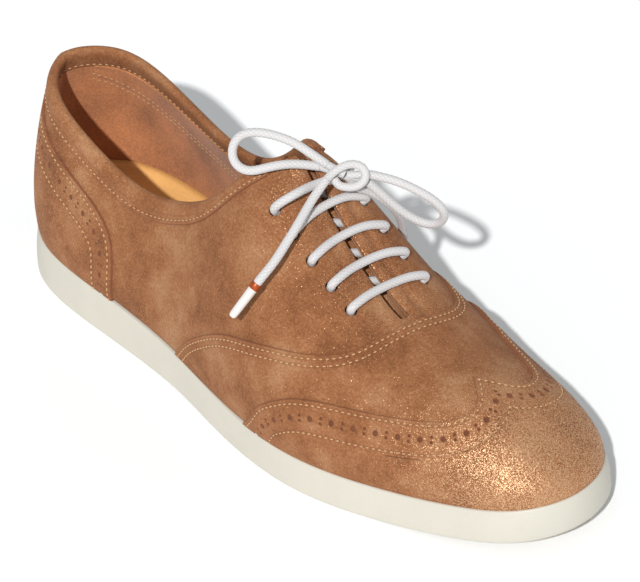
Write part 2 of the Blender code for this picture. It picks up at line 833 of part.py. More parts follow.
def make_knot(collection):
    bm = bmesh.new()
    bmesh.ops.create_uvsphere(bm, u_segments=14, v_segments=8, radius=1)
    for vert in bm.verts:
        vert.co = placed(np.array(vert.co) * KNOT_RADII + KNOT)
    data = bpy.data.meshes.new("lace_knot")
    bm.to_mesh(data)
    bm.free()
    data.shade_smooth()
    add_object("lace_knot", data, "white cotton", collection)


def make_bow(collection):
    for name, route in (("lateral", LOOP_LATERAL), ("medial", LOOP_MEDIAL)):
        tube(f"lace_loop_{name}", smooth_route(route, CORD_STEP), LACE, "white cotton", collection)
    for name, route in (("lateral", END_LATERAL), ("medial", END_MEDIAL)):
        line = smooth_route(route, CORD_STEP)
        tube(f"lace_end_{name}", line, LACE, "white cotton", collection)
        way = (line[-1] - line[-2]) / np.linalg.norm(line[-1] - line[-2])
        ends = [line[-1] + GAP * way, line[-1] + (GAP + AGLET_LENGTH) * way]
        tube(f"aglet_{name}", ends, AGLET, "clear aglet", collection)


def main():
    for old in list(bpy.data.objects):
        bpy.data.objects.remove(old)
    shoe = bpy.data.collections.new("swing_dance_shoe")
    cutters = bpy.data.collections.new("cutters")
    for made in (shoe, cutters):
        bpy.context.scene.collection.children.link(made)
    make_sole(shoe)
    make_insole(shoe)
    make_upper(shoe, cutters)
    make_wing_cap(shoe)
    make_heel_counter(shoe)
    make_collar_band(shoe)
    make_tongue(shoe)
    for pair in range(EYELET_PAIRS - 1):
        make_lace_bar(pair, shoe)
    make_lace_lead(LATERAL, "lace_lead_lateral", shoe)
    make_lace_lead(MEDIAL, "lace_lead_medial", shoe)
    make_knot(shoe)
    make_bow(shoe)


main()
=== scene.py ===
"""Looks of a low lace-up wing-cap dance shoe for the right foot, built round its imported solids.

Lengths are millimetres in the last's own frame, as in the part's source: the heel's back is at x = 0,
the toe points to +x, the lateral side is at -y and the floor at z = 0. A place on the last is a pair:
along, from heel 0 to toe 1 on each side, and up, from the sole's edge 0 to the ridge 1.
"""

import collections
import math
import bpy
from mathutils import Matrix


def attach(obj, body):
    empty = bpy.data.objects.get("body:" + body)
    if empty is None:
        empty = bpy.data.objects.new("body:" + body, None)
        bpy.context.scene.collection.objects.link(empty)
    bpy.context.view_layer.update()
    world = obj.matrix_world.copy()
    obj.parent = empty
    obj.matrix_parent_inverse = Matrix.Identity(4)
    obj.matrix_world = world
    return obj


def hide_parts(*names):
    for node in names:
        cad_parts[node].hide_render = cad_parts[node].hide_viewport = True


bl_info = {
    "name": "Swing dance shoe",
    "version": (1, 0, 0),
    "blender": (4, 5, 0),
    "location": "View3D > Sidebar > Shoe",
    "description": "Dresses the packed solids of a suede wing-cap dance shoe",
    "category": "Add Mesh",
}

import bpy
import numpy as np
from bpy.props import FloatProperty, FloatVectorProperty, PointerProperty
from mathutils import Matrix, Vector

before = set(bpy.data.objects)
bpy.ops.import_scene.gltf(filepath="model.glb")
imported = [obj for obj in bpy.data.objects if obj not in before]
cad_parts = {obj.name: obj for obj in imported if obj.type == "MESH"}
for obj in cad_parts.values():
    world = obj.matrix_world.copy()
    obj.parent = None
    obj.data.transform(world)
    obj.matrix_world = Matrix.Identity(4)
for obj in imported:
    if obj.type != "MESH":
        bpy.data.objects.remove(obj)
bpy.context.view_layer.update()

MM = 0.001
ORIGIN = np.array([135.0, 0.8, 0.0])
LATERAL, MEDIAL = -1, 1
SIDES = (LATERAL, MEDIAL)
SIDE_NAMES = {LATERAL: "lateral", MEDIAL: "medial"}
BODY = "root"

# Sole, as in the part's source
SOLE_LENGTH = 270.0
HEEL_THICKNESS = 16.5
FORE_THICKNESS = 12.5
HEEL_END = 0.2
FORE_START = 0.6
TOE_SPRING = 9.0
SPRING_START = 0.72
ARCH_LIFT = 0.8
ARCH_MIDDLE = 0.42
ARCH_HALF = 0.12
SOLE_FLARE = 1.4
TOE_SWING = 4.0
OUTLINE = (
    # station, lateral half width, medial half width
    (0.00, 0.0, 0.0),
    (0.04, 21.5, 21.0),
    (0.12, 31.0, 28.5),
    (0.24, 33.5, 27.5),
    (0.38, 36.0, 23.5),
    (0.52, 42.5, 31.5),
    (0.66, 45.0, 44.0),
    (0.78, 38.0, 41.5),
    (0.90, 28.0, 33.5),
    (0.97, 18.0, 21.5),
    (1.00, 0.0, 0.0),
)

# Last, as in the part's source
RIDGE = (
    # x, y, z
    (38.0, 4.0, 100.0),
    (95.0, 4.0, 79.0),
    (128.0, 7.4, 89.8),
    (155.0, 5.2, 73.0),
    (182.0, 3.7, 54.8),
    (210.0, 2.6, 44.8),
    (234.0, 2.4, 41.0),
    (250.0, 2.8, 34.0),
)
RIBS = (
    # along, x at the ridge, inset, then bulge, rise and shoulder: lateral, medial
    (0.00, 40.0, 1.6, 7.0, 0.35, 0.80, 7.0, 0.35, 0.80),
    (0.14, 47.0, 1.6, 4.5, 0.27, 0.46, 7.0, 0.37, 0.68),
    (0.32, 84.0, 1.0, 3.6, 0.27, 0.32, 8.5, 0.43, 0.68),
    (0.48, 130.0, 1.4, 4.4, 0.33, 0.56, 7.8, 0.46, 1.00),
    (0.62, 171.0, 2.4, 4.7, 0.42, 0.74, 5.1, 0.44, 0.64),
    (0.76, 212.0, 2.8, 3.7, 0.44, 0.62, 3.8, 0.44, 0.56),
    (0.89, 238.0, 2.8, 1.8, 0.43, 0.56, 1.4, 0.45, 0.58),
    (1.00, 249.0, 2.8, 0.0, 0.42, 0.53, 0.0, 0.42, 0.53),
)
COLLAR = (
    # x, lateral height, medial height
    (3.0, 78.0, 78.0),
    (22.0, 72.7, 76.0),
    (48.0, 63.5, 69.0),
    (75.0, 57.7, 63.8),
    (98.0, 63.0, 65.0),
    (114.0, 74.1, 76.5),
    (124.0, 84.6, 86.0),
    (131.0, 88.8, 88.9),
    (138.0, 90.5, 90.5),
)
GAP = 0.3
WALL = 1.8
THROAT_HALF_GAP = 1.8
THROAT_START = 0.35
THROAT_END = 0.674
PRESS = 2.2
PRESS_WIDTH = 10.0
PRESS_RUN = (134.0, 146.0, 180.0, 196.0)

# Panels, as in the part's source
STEP = 0.9
CAP_LIFT = 1.3
OVERLAY = 0.8
OVERLAY_GAP = 0.4
BAND_WIDTH = 8.0
STAY_EDGE = 0.042
VAMP_EDGE = (
    # up, lateral along, medial along
    (0.00, 0.405, 0.447),
    (0.07, 0.419, 0.470),
    (0.15, 0.440, 0.498),
    (0.22, 0.470, 0.522),
    (0.29, 0.506, 0.547),
    (0.36, 0.545, 0.570),
    (0.44, 0.583, 0.602),
    (0.52, 0.617, 0.632),
    (0.60, 0.644, 0.658),
    (0.70, 0.666, 0.676),
    (0.85, 0.678, 0.684),
    (1.00, 0.683, 0.683),
)
WING_EDGE = (
    # up, along on both sides
    (0.00, 0.555),
    (0.08, 0.573),
    (0.18, 0.590),
    (0.27, 0.614),
    (0.34, 0.636),
    (0.40, 0.662),
    (0.45, 0.692),
    (0.49, 0.722),
    (0.53, 0.753),
    (0.57, 0.783),
    (0.62, 0.808),
    (0.70, 0.828),
    (0.80, 0.837),
    (0.89, 0.829),
    (0.95, 0.813),
    (1.00, 0.797),
)
COUNTER_TOP = (
    # lateral along, medial along, level of the top edge
    (0.050, 0.050, 0.430),
    (0.080, 0.070, 0.420),
    (0.160, 0.120, 0.400),
    (0.215, 0.178, 0.380),
    (0.246, 0.232, 0.350),
    (0.267, 0.269, 0.300),
    (0.279, 0.300, 0.200),
    (0.281, 0.309, 0.100),
)
TONGUE_WIDTHS = (
    # x, half width
    (199.0, 15.0),
    (185.0, 18.0),
    (160.0, 17.0),
    (146.0, 13.0),
    (139.0, 10.0),
    (134.0, 8.0),
    (131.5, 6.0),
)
TONGUE_THICKNESS = 1.6
TONGUE_BEND = 136.0
TONGUE_SLOPE = -0.62
TONGUE_GAP_FRONT = 0.6
TONGUE_GAP = 4.0
TONGUE_GAP_START = 185.0

# Eyelets and lace, as in the part's source
EYELET_FIRST = 176.3
EYELET_PITCH = 9.2
EYELET_PAIRS = 5
EYELET_ROWS = (
    # x at the ridge, distance of the eyelets from the ridge: lateral, medial
    (139.5, 18.2, 12.0),
    (176.3, 15.0, 16.6),
)
EYELET_RADIUS = 2.1
LACE = 3.0
LACE_LIFT = 0.5
LEAD_BEND = 142.0
LEAD_LIFT = {LATERAL: 3.5, MEDIAL: 0.0}
LEAD_RIM = (-5.2, 6.2, -2.4)
KNOT = (150.2, 11.3, 86.6)
LOOP_LATERAL = (
    (145.2, 7.8, 90.0),
    (139.8, 5.1, 93.5),
    (134.6, 2.6, 96.3),
    (129.2, -1.0, 98.4),
    (123.9, -5.4, 99.3),
    (120.8, -9.0, 98.1),
    (119.9, -12.0, 94.2),
    (122.1, -13.0, 89.9),
    (126.0, -11.8, 88.2),
    (130.9, -7.9, 89.3),
    (136.0, -1.2, 90.2),
    (142.2, 6.8, 88.4),
)
LOOP_MEDIAL = (
    (155.3, 18.0, 86.0),
    (159.6, 21.4, 84.9),
    (164.0, 24.9, 83.0),
    (168.0, 28.6, 79.9),
    (171.3, 32.0, 76.1),
    (172.9, 34.2, 71.5),
    (171.1, 34.5, 66.9),
    (167.1, 32.7, 64.7),
    (163.1, 29.6, 66.3),
    (159.9, 25.9, 70.4),
    (157.0, 21.8, 76.4),
    (154.1, 17.2, 83.1),
)
END_LATERAL = (
    (149.2, 3.8, 87.9),
    (150.3, -3.6, 83.8),
    (152.9, -11.9, 79.9),
    (154.7, -19.4, 75.9),
    (155.7, -26.5, 71.5),
    (154.9, -31.2, 67.6),
    (154.3, -33.0, 65.6),
)
END_MEDIAL = (
    (152.0, 15.0, 80.6),
    (152.6, 18.6, 78.0),
    (154.2, 22.3, 74.6),
    (155.4, 25.6, 70.4),
    (154.6, 29.5, 64.5),
    (151.5, 33.5, 56.5),
    (148.5, 36.5, 48.0),
    (146.5, 38.0, 42.0),
)

# Camera: the photograph's angle to this shoe, with its roll and framing
CAMERA_AZIMUTH = 51.86
CAMERA_ELEVATION = 35.0
CAMERA_ROLL = -3.9
CAMERA_DISTANCE = 1.4214
CAMERA_TARGET = (0.0, -0.0008, 0.030)
CAMERA_LENS = 233.2
CAMERA_SHIFT = (0.0315, 0.0277)
CAMERA_SENSOR = 36.0
CAMERA_NEAR = 0.05  # metres, as are the camera's distance and target

# Studio: a white floor under an even sky, and one key light
FLOOR_HALF = 4.0  # metres
SKY = (0.94, 0.98, 1.0, 1.0)
SKY_STRENGTH = 0.47
KEY_AZIMUTH = 40.0
KEY_ELEVATION = 38.0
KEY_STRENGTH = 3.1
KEY_SPREAD = 1.5  # degrees

# Creases and hollows of the worn leather
FACING_RUN = (128.0, 136.0, 188.0, 196.0)  # x where the facings' creases start, are full, fade and end
FACING_CREASES = (
    # height, distance from the ridge, width
    (-0.8, 7.4, 1.0),
    (0.45, 4.4, 2.0),
)
FLEX_CREASES = (
    # x at the ridge, slant, depth, width
    (199.0, -0.25, 0.28, 3.2),
    (209.0, -0.30, 0.22, 2.6),
)
FLEX_RISE = (24.0, 36.0)  # z over which they come in
HOLLOW = 0.5  # depth of the hollow beside the lacing
HOLLOW_X = 176.0
HOLLOW_LENGTH = 12.0
HOLLOW_ACROSS = 27.0
HOLLOW_WIDTH = 7.0
HOLLOW_RISE = (30.0, 38.0)

# Metal dust on the nap, as shares of the thickest dust
DUST_ALL = 0.006
DUST_TOE_X = 259.0
DUST_TOE_WIDTH = 26.0
DUST_TOE_RISE = (12.0, 20.0)
DUST_FACING = 0.24
DUST_FACING_RUN = (120.0, 140.0, 180.0, 200.0)
DUST_FACING_WIDTH = 14.0
DUST_HEEL = 0.07
DUST_HEEL_X = 24.0
DUST_HEEL_LENGTH = 26.0
DUST_HEEL_Z = 44.0
DUST_HEEL_HEIGHT = 24.0

# How finely curves are read
OUTLINE_SAMPLES = 801
ALONG_SAMPLES = 1001
UP_SAMPLES = 301
RIB_SAMPLES = 161
FACING_SAMPLES = 241
CORNER_SAMPLES = 321
EDGE_SAMPLES = 400
COUNTER_SAMPLES = 500
ROUTE_SAMPLES = 600
NOTHING = 1e-9


def linear(hex_colour):
    """An sRGB hex value as linear red, green and blue."""
    channels = [int(hex_colour[i : i + 2], 16) / 255 for i in (1, 3, 5)]
    return tuple(c / 12.92 if c <= 0.04045 else ((c + 0.055) / 1.055) ** 2.4 for c in channels)


def length_property(name, description, millimetres):
    """A size that a user may change, kept in metres."""
    return FloatProperty(
        name=name, description=description, default=millimetres * MM, min=0, unit="LENGTH", precision=5
    )


def colour_property(name, description, hex_colour):
    """A colour that a user may change."""
    return FloatVectorProperty(
        name=name, description=description, default=linear(hex_colour), min=0, max=1, subtype="COLOR", size=3
    )


class ShoeSizes(bpy.types.PropertyGroup):
    """Sizes of the sewing, punching and lace."""

    stitch_pitch: length_property("Stitch pitch", "From one stitch to the next", 2.2)
    stitch_length: length_property("Stitch length", "Thread that shows in one stitch", 1.45)
    thread: length_property("Thread", "Thickness of the sewing thread", 0.62)
    seam_inset: length_property("Seam inset", "From a panel's cut edge to its first row of stitches", 1.7)
    seam_spacing: length_property("Seam spacing", "Between the two rows along the vamp", 2.4)
    brogue_width: length_property("Brogue width", "From the first to the second row round punched holes", 9.2)
    brogue_pitch: length_property("Brogue pitch", "From one large hole to the next", 8.0)
    large_hole: length_property("Large hole", "Diameter of a large punched hole", 1.9)
    small_hole: length_property("Small hole", "Diameter of a small punched hole", 1.05)
    braid_pick: length_property("Braid pick", "Length of one crossing in the lace's braid", 1.7)


class ShoeColours(bpy.types.PropertyGroup):
    """Colours of the shoe's materials."""

    suede: colour_property("Suede", "Brushed nap in the light", "#8F5A35")
    suede_dark: colour_property("Suede, dark", "Nap brushed the other way", "#6F4120")
    suede_light: colour_property("Suede, light", "Nap that catches the light", "#A57A56")
    gold: colour_property("Gold dust", "Metal dust on the suede", "#D2A67E")
    # the punched edge's own colour, darkened as painted shade in the holes; also the colour that painted
    # shade on the suede goes to
    punched: colour_property("Punched edge", "Inside of the punched holes", "#774830")
    thread: colour_property("Thread", "Sewing thread", "#BD9468")
    lining: colour_property("Lining", "Suede lining", "#B1744A")
    insole: colour_property("Insole", "Leather sock", "#E6B06A")
    sole: colour_property("Sole", "Moulded sole", "#C5C0B3")
    lace: colour_property("Lace", "Braided cotton", "#D2CFCE")
    aglet: colour_property("Lace tip", "Clear sleeve over the lace", "#D8D4CF")
    ring: colour_property("Tip ring", "Copper ring above the sleeve", "#B4572E")
    floor: colour_property("Floor", "Studio floor", "#FCFCFC")


def sizes():
    return bpy.context.scene.shoe_sizes


def colours():
    return bpy.context.scene.shoe_colours


def mm(metres):
    return metres / MM


def spline(x, y):
    """A natural cubic spline through the points (x, y)."""
    x = np.asarray(x, float)
    y = np.asarray(y, float)
    step = np.diff(x)
    slope = np.diff(y) / step
    matrix = np.eye(len(x))
    right = np.zeros(len(x))
    for i in range(1, len(x) - 1):
        matrix[i, i - 1 : i + 2] = step[i - 1], 2 * (step[i - 1] + step[i]), step[i]
        right[i] = 6 * (slope[i] - slope[i - 1])
    bend = np.linalg.solve(matrix, right)

    def value(q):
        q = np.clip(np.asarray(q, float), x[0], x[-1])
        i = np.clip(np.searchsorted(x, q) - 1, 0, len(x) - 2)
        a = (x[i + 1] - q) / step[i]
        b = 1 - a
        curve = (a**3 - a) * bend[i] + (b**3 - b) * bend[i + 1]
        return a * y[i] + b * y[i + 1] + curve * step[i] ** 2 / 6

    return value


def column(table, i):
    return np.array([row[i] for row in table])


def unit(vectors):
    return vectors / np.linalg.norm(vectors, axis=-1, keepdims=True)


def run_length(points):
    """Distance along a line of points, from its first point."""
    return np.concatenate([[0], np.cumsum(np.linalg.norm(np.diff(points, axis=0), axis=1))])


def half_outlines():
    """Both halves of the sole's outline from heel to toe: share of the length, points, inward."""
    station, lateral, medial = (column(OUTLINE, i) for i in range(3))
    x = np.concatenate([station, station[-2:0:-1]]) * SOLE_LENGTH
    y = np.concatenate([-lateral, medial[-2:0:-1]]) + TOE_SWING * (x / SOLE_LENGTH) ** 3
    wrap = 4
    ring = np.stack([x, y], 1)
    ring = np.vstack([ring[-wrap:], ring, ring[: wrap + 1]])
    at = np.concatenate([[0], np.cumsum(np.sqrt(np.linalg.norm(np.diff(ring, axis=0), axis=1)))])
    run_x = spline(at, ring[:, 0])
    run_y = spline(at, ring[:, 1])
    toe = at[wrap + len(station) - 1]
    halves = {}
    for side, heel in ((LATERAL, at[wrap]), (MEDIAL, at[wrap + len(x)])):
        u = np.linspace(heel, toe, OUTLINE_SAMPLES)
        line = np.stack([run_x(u), run_y(u)], 1)
        tangent = unit(np.gradient(line, axis=0))
        inward = np.stack([tangent[:, 1], -tangent[:, 0]], 1) * side
        inward[0] = 1, 0
        inward[-1] = -1, 0
        length = run_length(line)
        halves[side] = length / length[-1], line, inward
    return halves


HALVES = half_outlines()
RIDGE_Y = spline(column(RIDGE, 0), column(RIDGE, 1))
RIDGE_Z = spline(column(RIDGE, 0), column(RIDGE, 2))
RIB = [spline(column(RIBS, 0), column(RIBS, i)) for i in range(len(RIBS[0]))]
COLLAR_Z = {side: spline(column(COLLAR, 0), column(COLLAR, i)) for i, side in ((1, LATERAL), (2, MEDIAL))}


def on_outline(side, along, inset):
    """Plan points on the sole's outline, moved inward by inset."""
    at, line, inward = HALVES[side]
    axes = [np.interp(along, at, line[:, i]) + inset * np.interp(along, at, inward[:, i]) for i in (0, 1)]
    return np.stack(axes, -1)


def ease(q):
    q = np.clip(q, 0, 1)
    return q * q * (3 - 2 * q)


def rising(q, span):
    """From 0 to 1 between the two values of a span."""
    return ease((q - span[0]) / (span[1] - span[0]))


def within(q, run):
    """1 inside a run, which eases in over its first two values and out over its last two."""
    start, full, fade, end = run
    return ease((q - start) / (full - start)) * ease((end - q) / (end - fade))


def spring(x):
    return TOE_SPRING * np.clip((x / SOLE_LENGTH - SPRING_START) / (1 - SPRING_START), 0, 1) ** 2


def sole_top(x):
    thinning = rising(x / SOLE_LENGTH, (HEEL_END, FORE_START))
    return HEEL_THICKNESS + (FORE_THICKNESS - HEEL_THICKNESS) * thinning + spring(x)


def sole_bottom(x):
    arch = np.clip(1 - np.abs(x / SOLE_LENGTH - ARCH_MIDDLE) / ARCH_HALF, 0, 1)
    return ARCH_LIFT * ease(arch) + spring(x)


def last(side, along, up):
    """Points of the last: each rib is one cubic curve from the sole's edge to the ridge."""
    along, up = np.broadcast_arrays(np.asarray(along, float), np.asarray(up, float))
    at_ridge = RIB[1](along)
    first = 3 if side == LATERAL else 6
    bulge, rise, shoulder = (RIB[first + i](along) for i in range(3))
    foot = on_outline(side, along, SOLE_FLARE + RIB[2](along))
    foot_z = sole_top(foot[..., 0]) + GAP
    top = np.stack([at_ridge, RIDGE_Y(at_ridge)], -1)
    top_z = RIDGE_Z(at_ridge)
    ridge_slope = RIDGE_Z(at_ridge + 0.5) - RIDGE_Z(at_ridge - 0.5)
    reach = np.linalg.norm(top - foot, axis=-1, keepdims=True)
    inward = (top - foot) / reach
    low = foot - inward * bulge[..., None]
    low_z = foot_z + rise * (top_z - foot_z)
    high = top - inward * reach * shoulder[..., None]
    high_z = top_z + ridge_slope * (high[..., 0] - at_ridge)
    weights = (1 - up) ** 3, 3 * up * (1 - up) ** 2, 3 * up**2 * (1 - up), up**3
    plan = sum(w[..., None] * p for w, p in zip(weights, (foot, low, high, top)))
    z = sum(w * p for w, p in zip(weights, (foot_z, low_z, high_z, top_z)))
    return np.concatenate([plan, z[..., None]], -1)


SLOPE_STEP = 0.004
RIDGE_BLEND = 0.06  # up, below the ridge, over which both sides' normals become one
END_BLEND = 0.006  # along, at heel and toe, over which they do


def slopes(side, along, up):
    """How the last's points move with along and with up."""
    middle = np.clip(along, SLOPE_STEP, 1 - 2 * SLOPE_STEP)
    level = np.clip(up, SLOPE_STEP, 1 - 4 * SLOPE_STEP)
    run = last(side, middle + SLOPE_STEP, level) - last(side, middle - SLOPE_STEP, level)
    climb = last(side, middle, level + SLOPE_STEP) - last(side, middle, level - SLOPE_STEP)
    return run / (2 * SLOPE_STEP), climb / (2 * SLOPE_STEP)


def one_side_normal(side, along, up):
    run, climb = slopes(side, along, up)
    return unit(np.cross(run, climb) * -side)


def outward(side, along, up):
    """Unit normals of the last, the same from both sides on the heel's, toe's and ridge's centre lines."""
    along, up = np.broadcast_arrays(np.asarray(along, float), np.asarray(up, float))
    normal = one_side_normal(side, along, up)
    other = one_side_normal(-side, along, up)
    shared = unit(normal + other)
    at_ridge = ease((up - (1 - RIDGE_BLEND)) / RIDGE_BLEND)[..., None]
    normal = unit(normal * (1 - at_ridge) + shared * at_ridge)
    at_heel = ease(1 - along / END_BLEND)
    at_toe = ease((along - (1 - END_BLEND)) / END_BLEND)
    at_ends = np.maximum(at_heel, at_toe)[..., None]
    flat = unit(shared * (1, 0, 1))
    return unit(normal * (1 - at_ends) + flat * at_ends)


def bump(distance, width):
    """A soft ridge of height 1 over a distance of 0."""
    return np.exp(-((distance / width) ** 2))


def relief(points):
    """Soft troughs and ridges of the worn leather, in millimetres along the normal."""
    x, y, z = points[..., 0], points[..., 1], points[..., 2]
    across = np.abs(y - RIDGE_Y(x))
    facing = within(x, FACING_RUN)
    creases = sum(height * facing * bump(across - at, width) for height, at, width in FACING_CREASES)
    flex = sum(-depth * bump(x - at - slant * across, width) for at, slant, depth, width in FLEX_CREASES)
    hollow = -HOLLOW * bump(x - HOLLOW_X, HOLLOW_LENGTH) * bump(across - HOLLOW_ACROSS, HOLLOW_WIDTH)
    hollow = hollow * rising(z, HOLLOW_RISE)
    press = -PRESS * within(x, PRESS_RUN) * bump(across, PRESS_WIDTH)
    return press + creases + rising(z, FLEX_RISE) * flex + hollow


def wall(side, along, up, offset):
    """Points at an offset outside the last, with the leather's soft creases."""
    points = last(side, along, up)
    away = np.asarray(offset + relief(points))
    return points + away[..., None] * outward(side, along, up)


def opening_table(side):
    """Along, and how far up each rib the upper goes: to the collar, the throat's edge or the ridge."""
    along = np.linspace(0, 1, ALONG_SAMPLES)
    levels = np.linspace(0, 1, UP_SAMPLES)
    rib = last(side, along[:, None], levels)
    over_collar = rib[..., 2] - COLLAR_Z[side](rib[..., 0])
    in_slit = THROAT_HALF_GAP - np.abs(rib[..., 1] - RIDGE_Y(rib[..., 0]))
    in_slit = np.where((along[:, None] > THROAT_START) & (along[:, None] <= THROAT_END), in_slit, -1)
    open_by = np.maximum(over_collar, in_slit)
    tops = np.ones(len(along))
    for i, values in enumerate(open_by):
        hit = np.flatnonzero((values[:-1] < 0) & (values[1:] >= 0))
        if len(hit) and along[i] <= THROAT_END:
            k = hit[0]
            share = values[k] / (values[k] - values[k + 1])
            tops[i] = levels[k] + share * (levels[k + 1] - levels[k])
    return along, tops


HEEL_BLEND = 0.03  # along, over which the sides' edges meet at the heel's centre line


def shared_openings():
    """Both sides' tables, which meet at the heel's centre line."""
    tables = {side: opening_table(side) for side in SIDES}
    along = tables[LATERAL][0]
    middle = (tables[LATERAL][1] + tables[MEDIAL][1]) / 2
    own = ease(along / HEEL_BLEND)
    return {side: (along, own * tables[side][1] + (1 - own) * middle) for side in SIDES}


OPENING = shared_openings()


def opening(side, along):
    return np.interp(along, *OPENING[side])


CORNER_SEARCH = (0.40, 0.56)
CORNER_ROOM = 0.05


def throat_corner():
    """Along, where the collar's edge turns into the throat's."""
    tries = np.linspace(*CORNER_SEARCH, CORNER_SAMPLES)
    edge = last(LATERAL, tries, opening(LATERAL, tries))
    at_slit = np.abs(edge[:, 1] - RIDGE_Y(edge[:, 0])) < THROAT_HALF_GAP + CORNER_ROOM
    return tries[np.argmax(at_slit)]


CORNER = throat_corner()


def below_opening(side, along, distance):
    """How far up a rib a point lies that is the given distance below the opening's edge."""
    along = np.atleast_1d(along)
    levels = np.linspace(0, 1, RIB_SAMPLES)[:, None] * opening(side, along)
    points = last(side, along, levels)
    found = []
    for i in range(len(along)):
        length = run_length(points[:, i])
        found.append(np.interp(length[-1] - distance, length, levels[:, i]))
    return np.array(found)


def levels_below(side, along, distances):
    """How far up each rib a point lies that is the rib's own distance below the opening's edge."""
    return np.array([below_opening(side, a, d)[0] for a, d in zip(along, distances)])


def ridge_along(x):
    """Along of the rib that meets the ridge at x."""
    tries = np.linspace(0, 1, ALONG_SAMPLES)
    return np.interp(x, RIB[1](tries), tries)


FACING_LOW = 0.3  # up, below which no facing reaches


def level_at(side, along, distance):
    """How far up a rib its point lies that is the given distance to the side of the ridge."""
    levels = np.linspace(FACING_LOW, 1, FACING_SAMPLES)
    rib = last(side, along, levels)
    return np.interp(-distance, -np.abs(rib[:, 1] - RIDGE_Y(rib[:, 0])), levels)


DRAWN_ON = -20  # how many times its first step a line may be drawn on straight


def trim(line, ends):
    """The line of places with its ends moved to the given levels, cut or drawn on straight."""
    line = np.array(line)
    for end, level in enumerate(ends):
        if level is None:
            continue
        run = line if end == 0 else line[::-1]
        beyond = (run[:, 1] - level) * np.sign(run[len(run) // 2, 1] - level)
        first = max(int(np.argmax(beyond > NOTHING)), 1)
        a, b = run[first - 1], run[first]
        if abs(b[1] - a[1]) < NOTHING:
            continue
        share = (level - a[1]) / (b[1] - a[1])
        start = a + np.clip(share, DRAWN_ON, 1) * (b - a)
        start[1] = level
        run = np.vstack([start, run[first:]])
        line = run if end == 0 else run[::-1]
    return line


def even(side, line, count):
    """The line of places with a given count of points, evenly spaced over the last."""
    length = run_length(last(side, line[:, 0], line[:, 1]))
    at = np.linspace(0, length[-1], count)
    return np.stack([np.interp(at, length, line[:, i]) for i in (0, 1)], 1)


SHIFT_STEP = 0.8


def shift(side, line, distance, ends):
    """The line of places moved sideways over the last, towards its inner side."""
    steps = max(1, math.ceil(abs(distance) / SHIFT_STEP))
    for _ in range(steps):
        run, climb = slopes(side, line[:, 0], line[:, 1])
        points = last(side, line[:, 0], line[:, 1])
        tangent = unit(np.gradient(points, axis=0))
        inner = np.cross(outward(side, line[:, 0], line[:, 1]), tangent) * side
        push = inner * distance / steps
        a, b, c = (run * run).sum(1), (run * climb).sum(1), (climb * climb).sum(1)
        p, q = (push * run).sum(1), (push * climb).sum(1)
        scale = a * c - b * b
        line = line + np.stack([(p * c - q * b) / scale, (q * a - p * b) / scale], 1)
    return even(side, trim(line, ends), len(line))


def edge_line(side, table, count):
    """The places of a panel's edge from the sole up to the ridge.

    The last column of a table is the medial side's, also where both sides share it.
    """
    along = spline(column(table, 0), column(table, 1 if side == LATERAL else -1))
    up = np.linspace(0, 1, EDGE_SAMPLES)
    return even(side, np.stack([along(up), up], 1), count)


BAND_TUCK = 2.0  # how far the back stay reaches under the collar band
STAY_CORNER = (0.002, 0.012)  # along before the stay and up over the counter's top, where its edge turns
STAY_START = 0.035  # up over the counter's top, where the stay's edge is straight
STAY_POINTS = 4


def counter_line(side, count):
    """The counter's edge from the sole up round its wing and along its top, then up the back stay."""
    reach = column(COUNTER_TOP, 0 if side == LATERAL else 1)[::-1]
    level = column(COUNTER_TOP, 2)[::-1]
    stay_top = below_opening(side, STAY_EDGE, BAND_WIDTH - BAND_TUCK)[0]
    stay_up = np.linspace(level[-1] + STAY_START, stay_top, STAY_POINTS)
    places = np.vstack(
        [
            [(reach[0], 0.0)],
            np.stack([reach, level], 1),
            [(STAY_EDGE + STAY_CORNER[0], level[-1] + STAY_CORNER[1])],
            np.stack([np.full(STAY_POINTS, STAY_EDGE), stay_up], 1),
        ]
    )
    at = run_length(last(side, places[:, 0], places[:, 1]))
    fine = np.linspace(0, at[-1], COUNTER_SAMPLES)
    line = np.stack([spline(at, places[:, i])(fine) for i in (0, 1)], 1)
    return even(side, line, count)


def placed(points):
    """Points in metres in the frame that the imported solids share."""
    return (np.asarray(points) - ORIGIN) * MM


def grid_faces(rows, columns, start):
    base = start + np.arange(rows - 1)[:, None] * columns + np.arange(columns - 1)
    faces = np.stack([base, base + 1, base + columns + 1, base + columns], -1)
    return faces.reshape(-1, 4)


def ring_faces(rings, count):
    """Faces between rings of so many points, one after the other."""
    faces = []
    for r in range(rings - 1):
        for i in range(count):
            a, b = r * count + i, r * count + (i + 1) % count
            faces.append([a, b, b + count, a + count])
    return faces


def end_faces(rings, count):
    """The two faces that close the first and the last ring."""
    return [list(range(count))[::-1], [(rings - 1) * count + k for k in range(count)]]


def add_object(name, mesh, *materials):
    made = bpy.data.objects.new(name, mesh)
    bpy.context.scene.collection.objects.link(made)
    for look in materials:
        mesh.materials.append(look)
    return made


def mesh_of(name, points, faces, **marks):
    """A smooth mesh in metres from points in millimetres, with a value at each point for each mark."""
    mesh = bpy.data.meshes.new(name)
    mesh.from_pydata(placed(points).tolist(), [], [list(map(int, face)) for face in faces])
    mesh.shade_smooth()
    for mark, values in marks.items():
        made = mesh.attributes.new(mark, "FLOAT", "POINT")
        made.data.foreach_set("value", np.asarray(values, np.float32))
    if mesh.validate():
        raise RuntimeError(f"{name} has faces that can't be")
    return mesh


def gold_dust(points):
    """Where metal dust has stayed on the nap: over the toe, and a little along the facing and at the heel."""
    x, y, z = points.T
    across = np.abs(y - RIDGE_Y(x))
    toe = bump(x - DUST_TOE_X, DUST_TOE_WIDTH) * rising(z, DUST_TOE_RISE)
    facing = within(x, DUST_FACING_RUN) * bump(across, DUST_FACING_WIDTH)
    heel = bump(x - DUST_HEEL_X, DUST_HEEL_LENGTH) * bump(z - DUST_HEEL_Z, DUST_HEEL_HEIGHT)
    return np.clip(DUST_ALL + toe + DUST_FACING * facing + DUST_HEEL * heel, 0, 1)


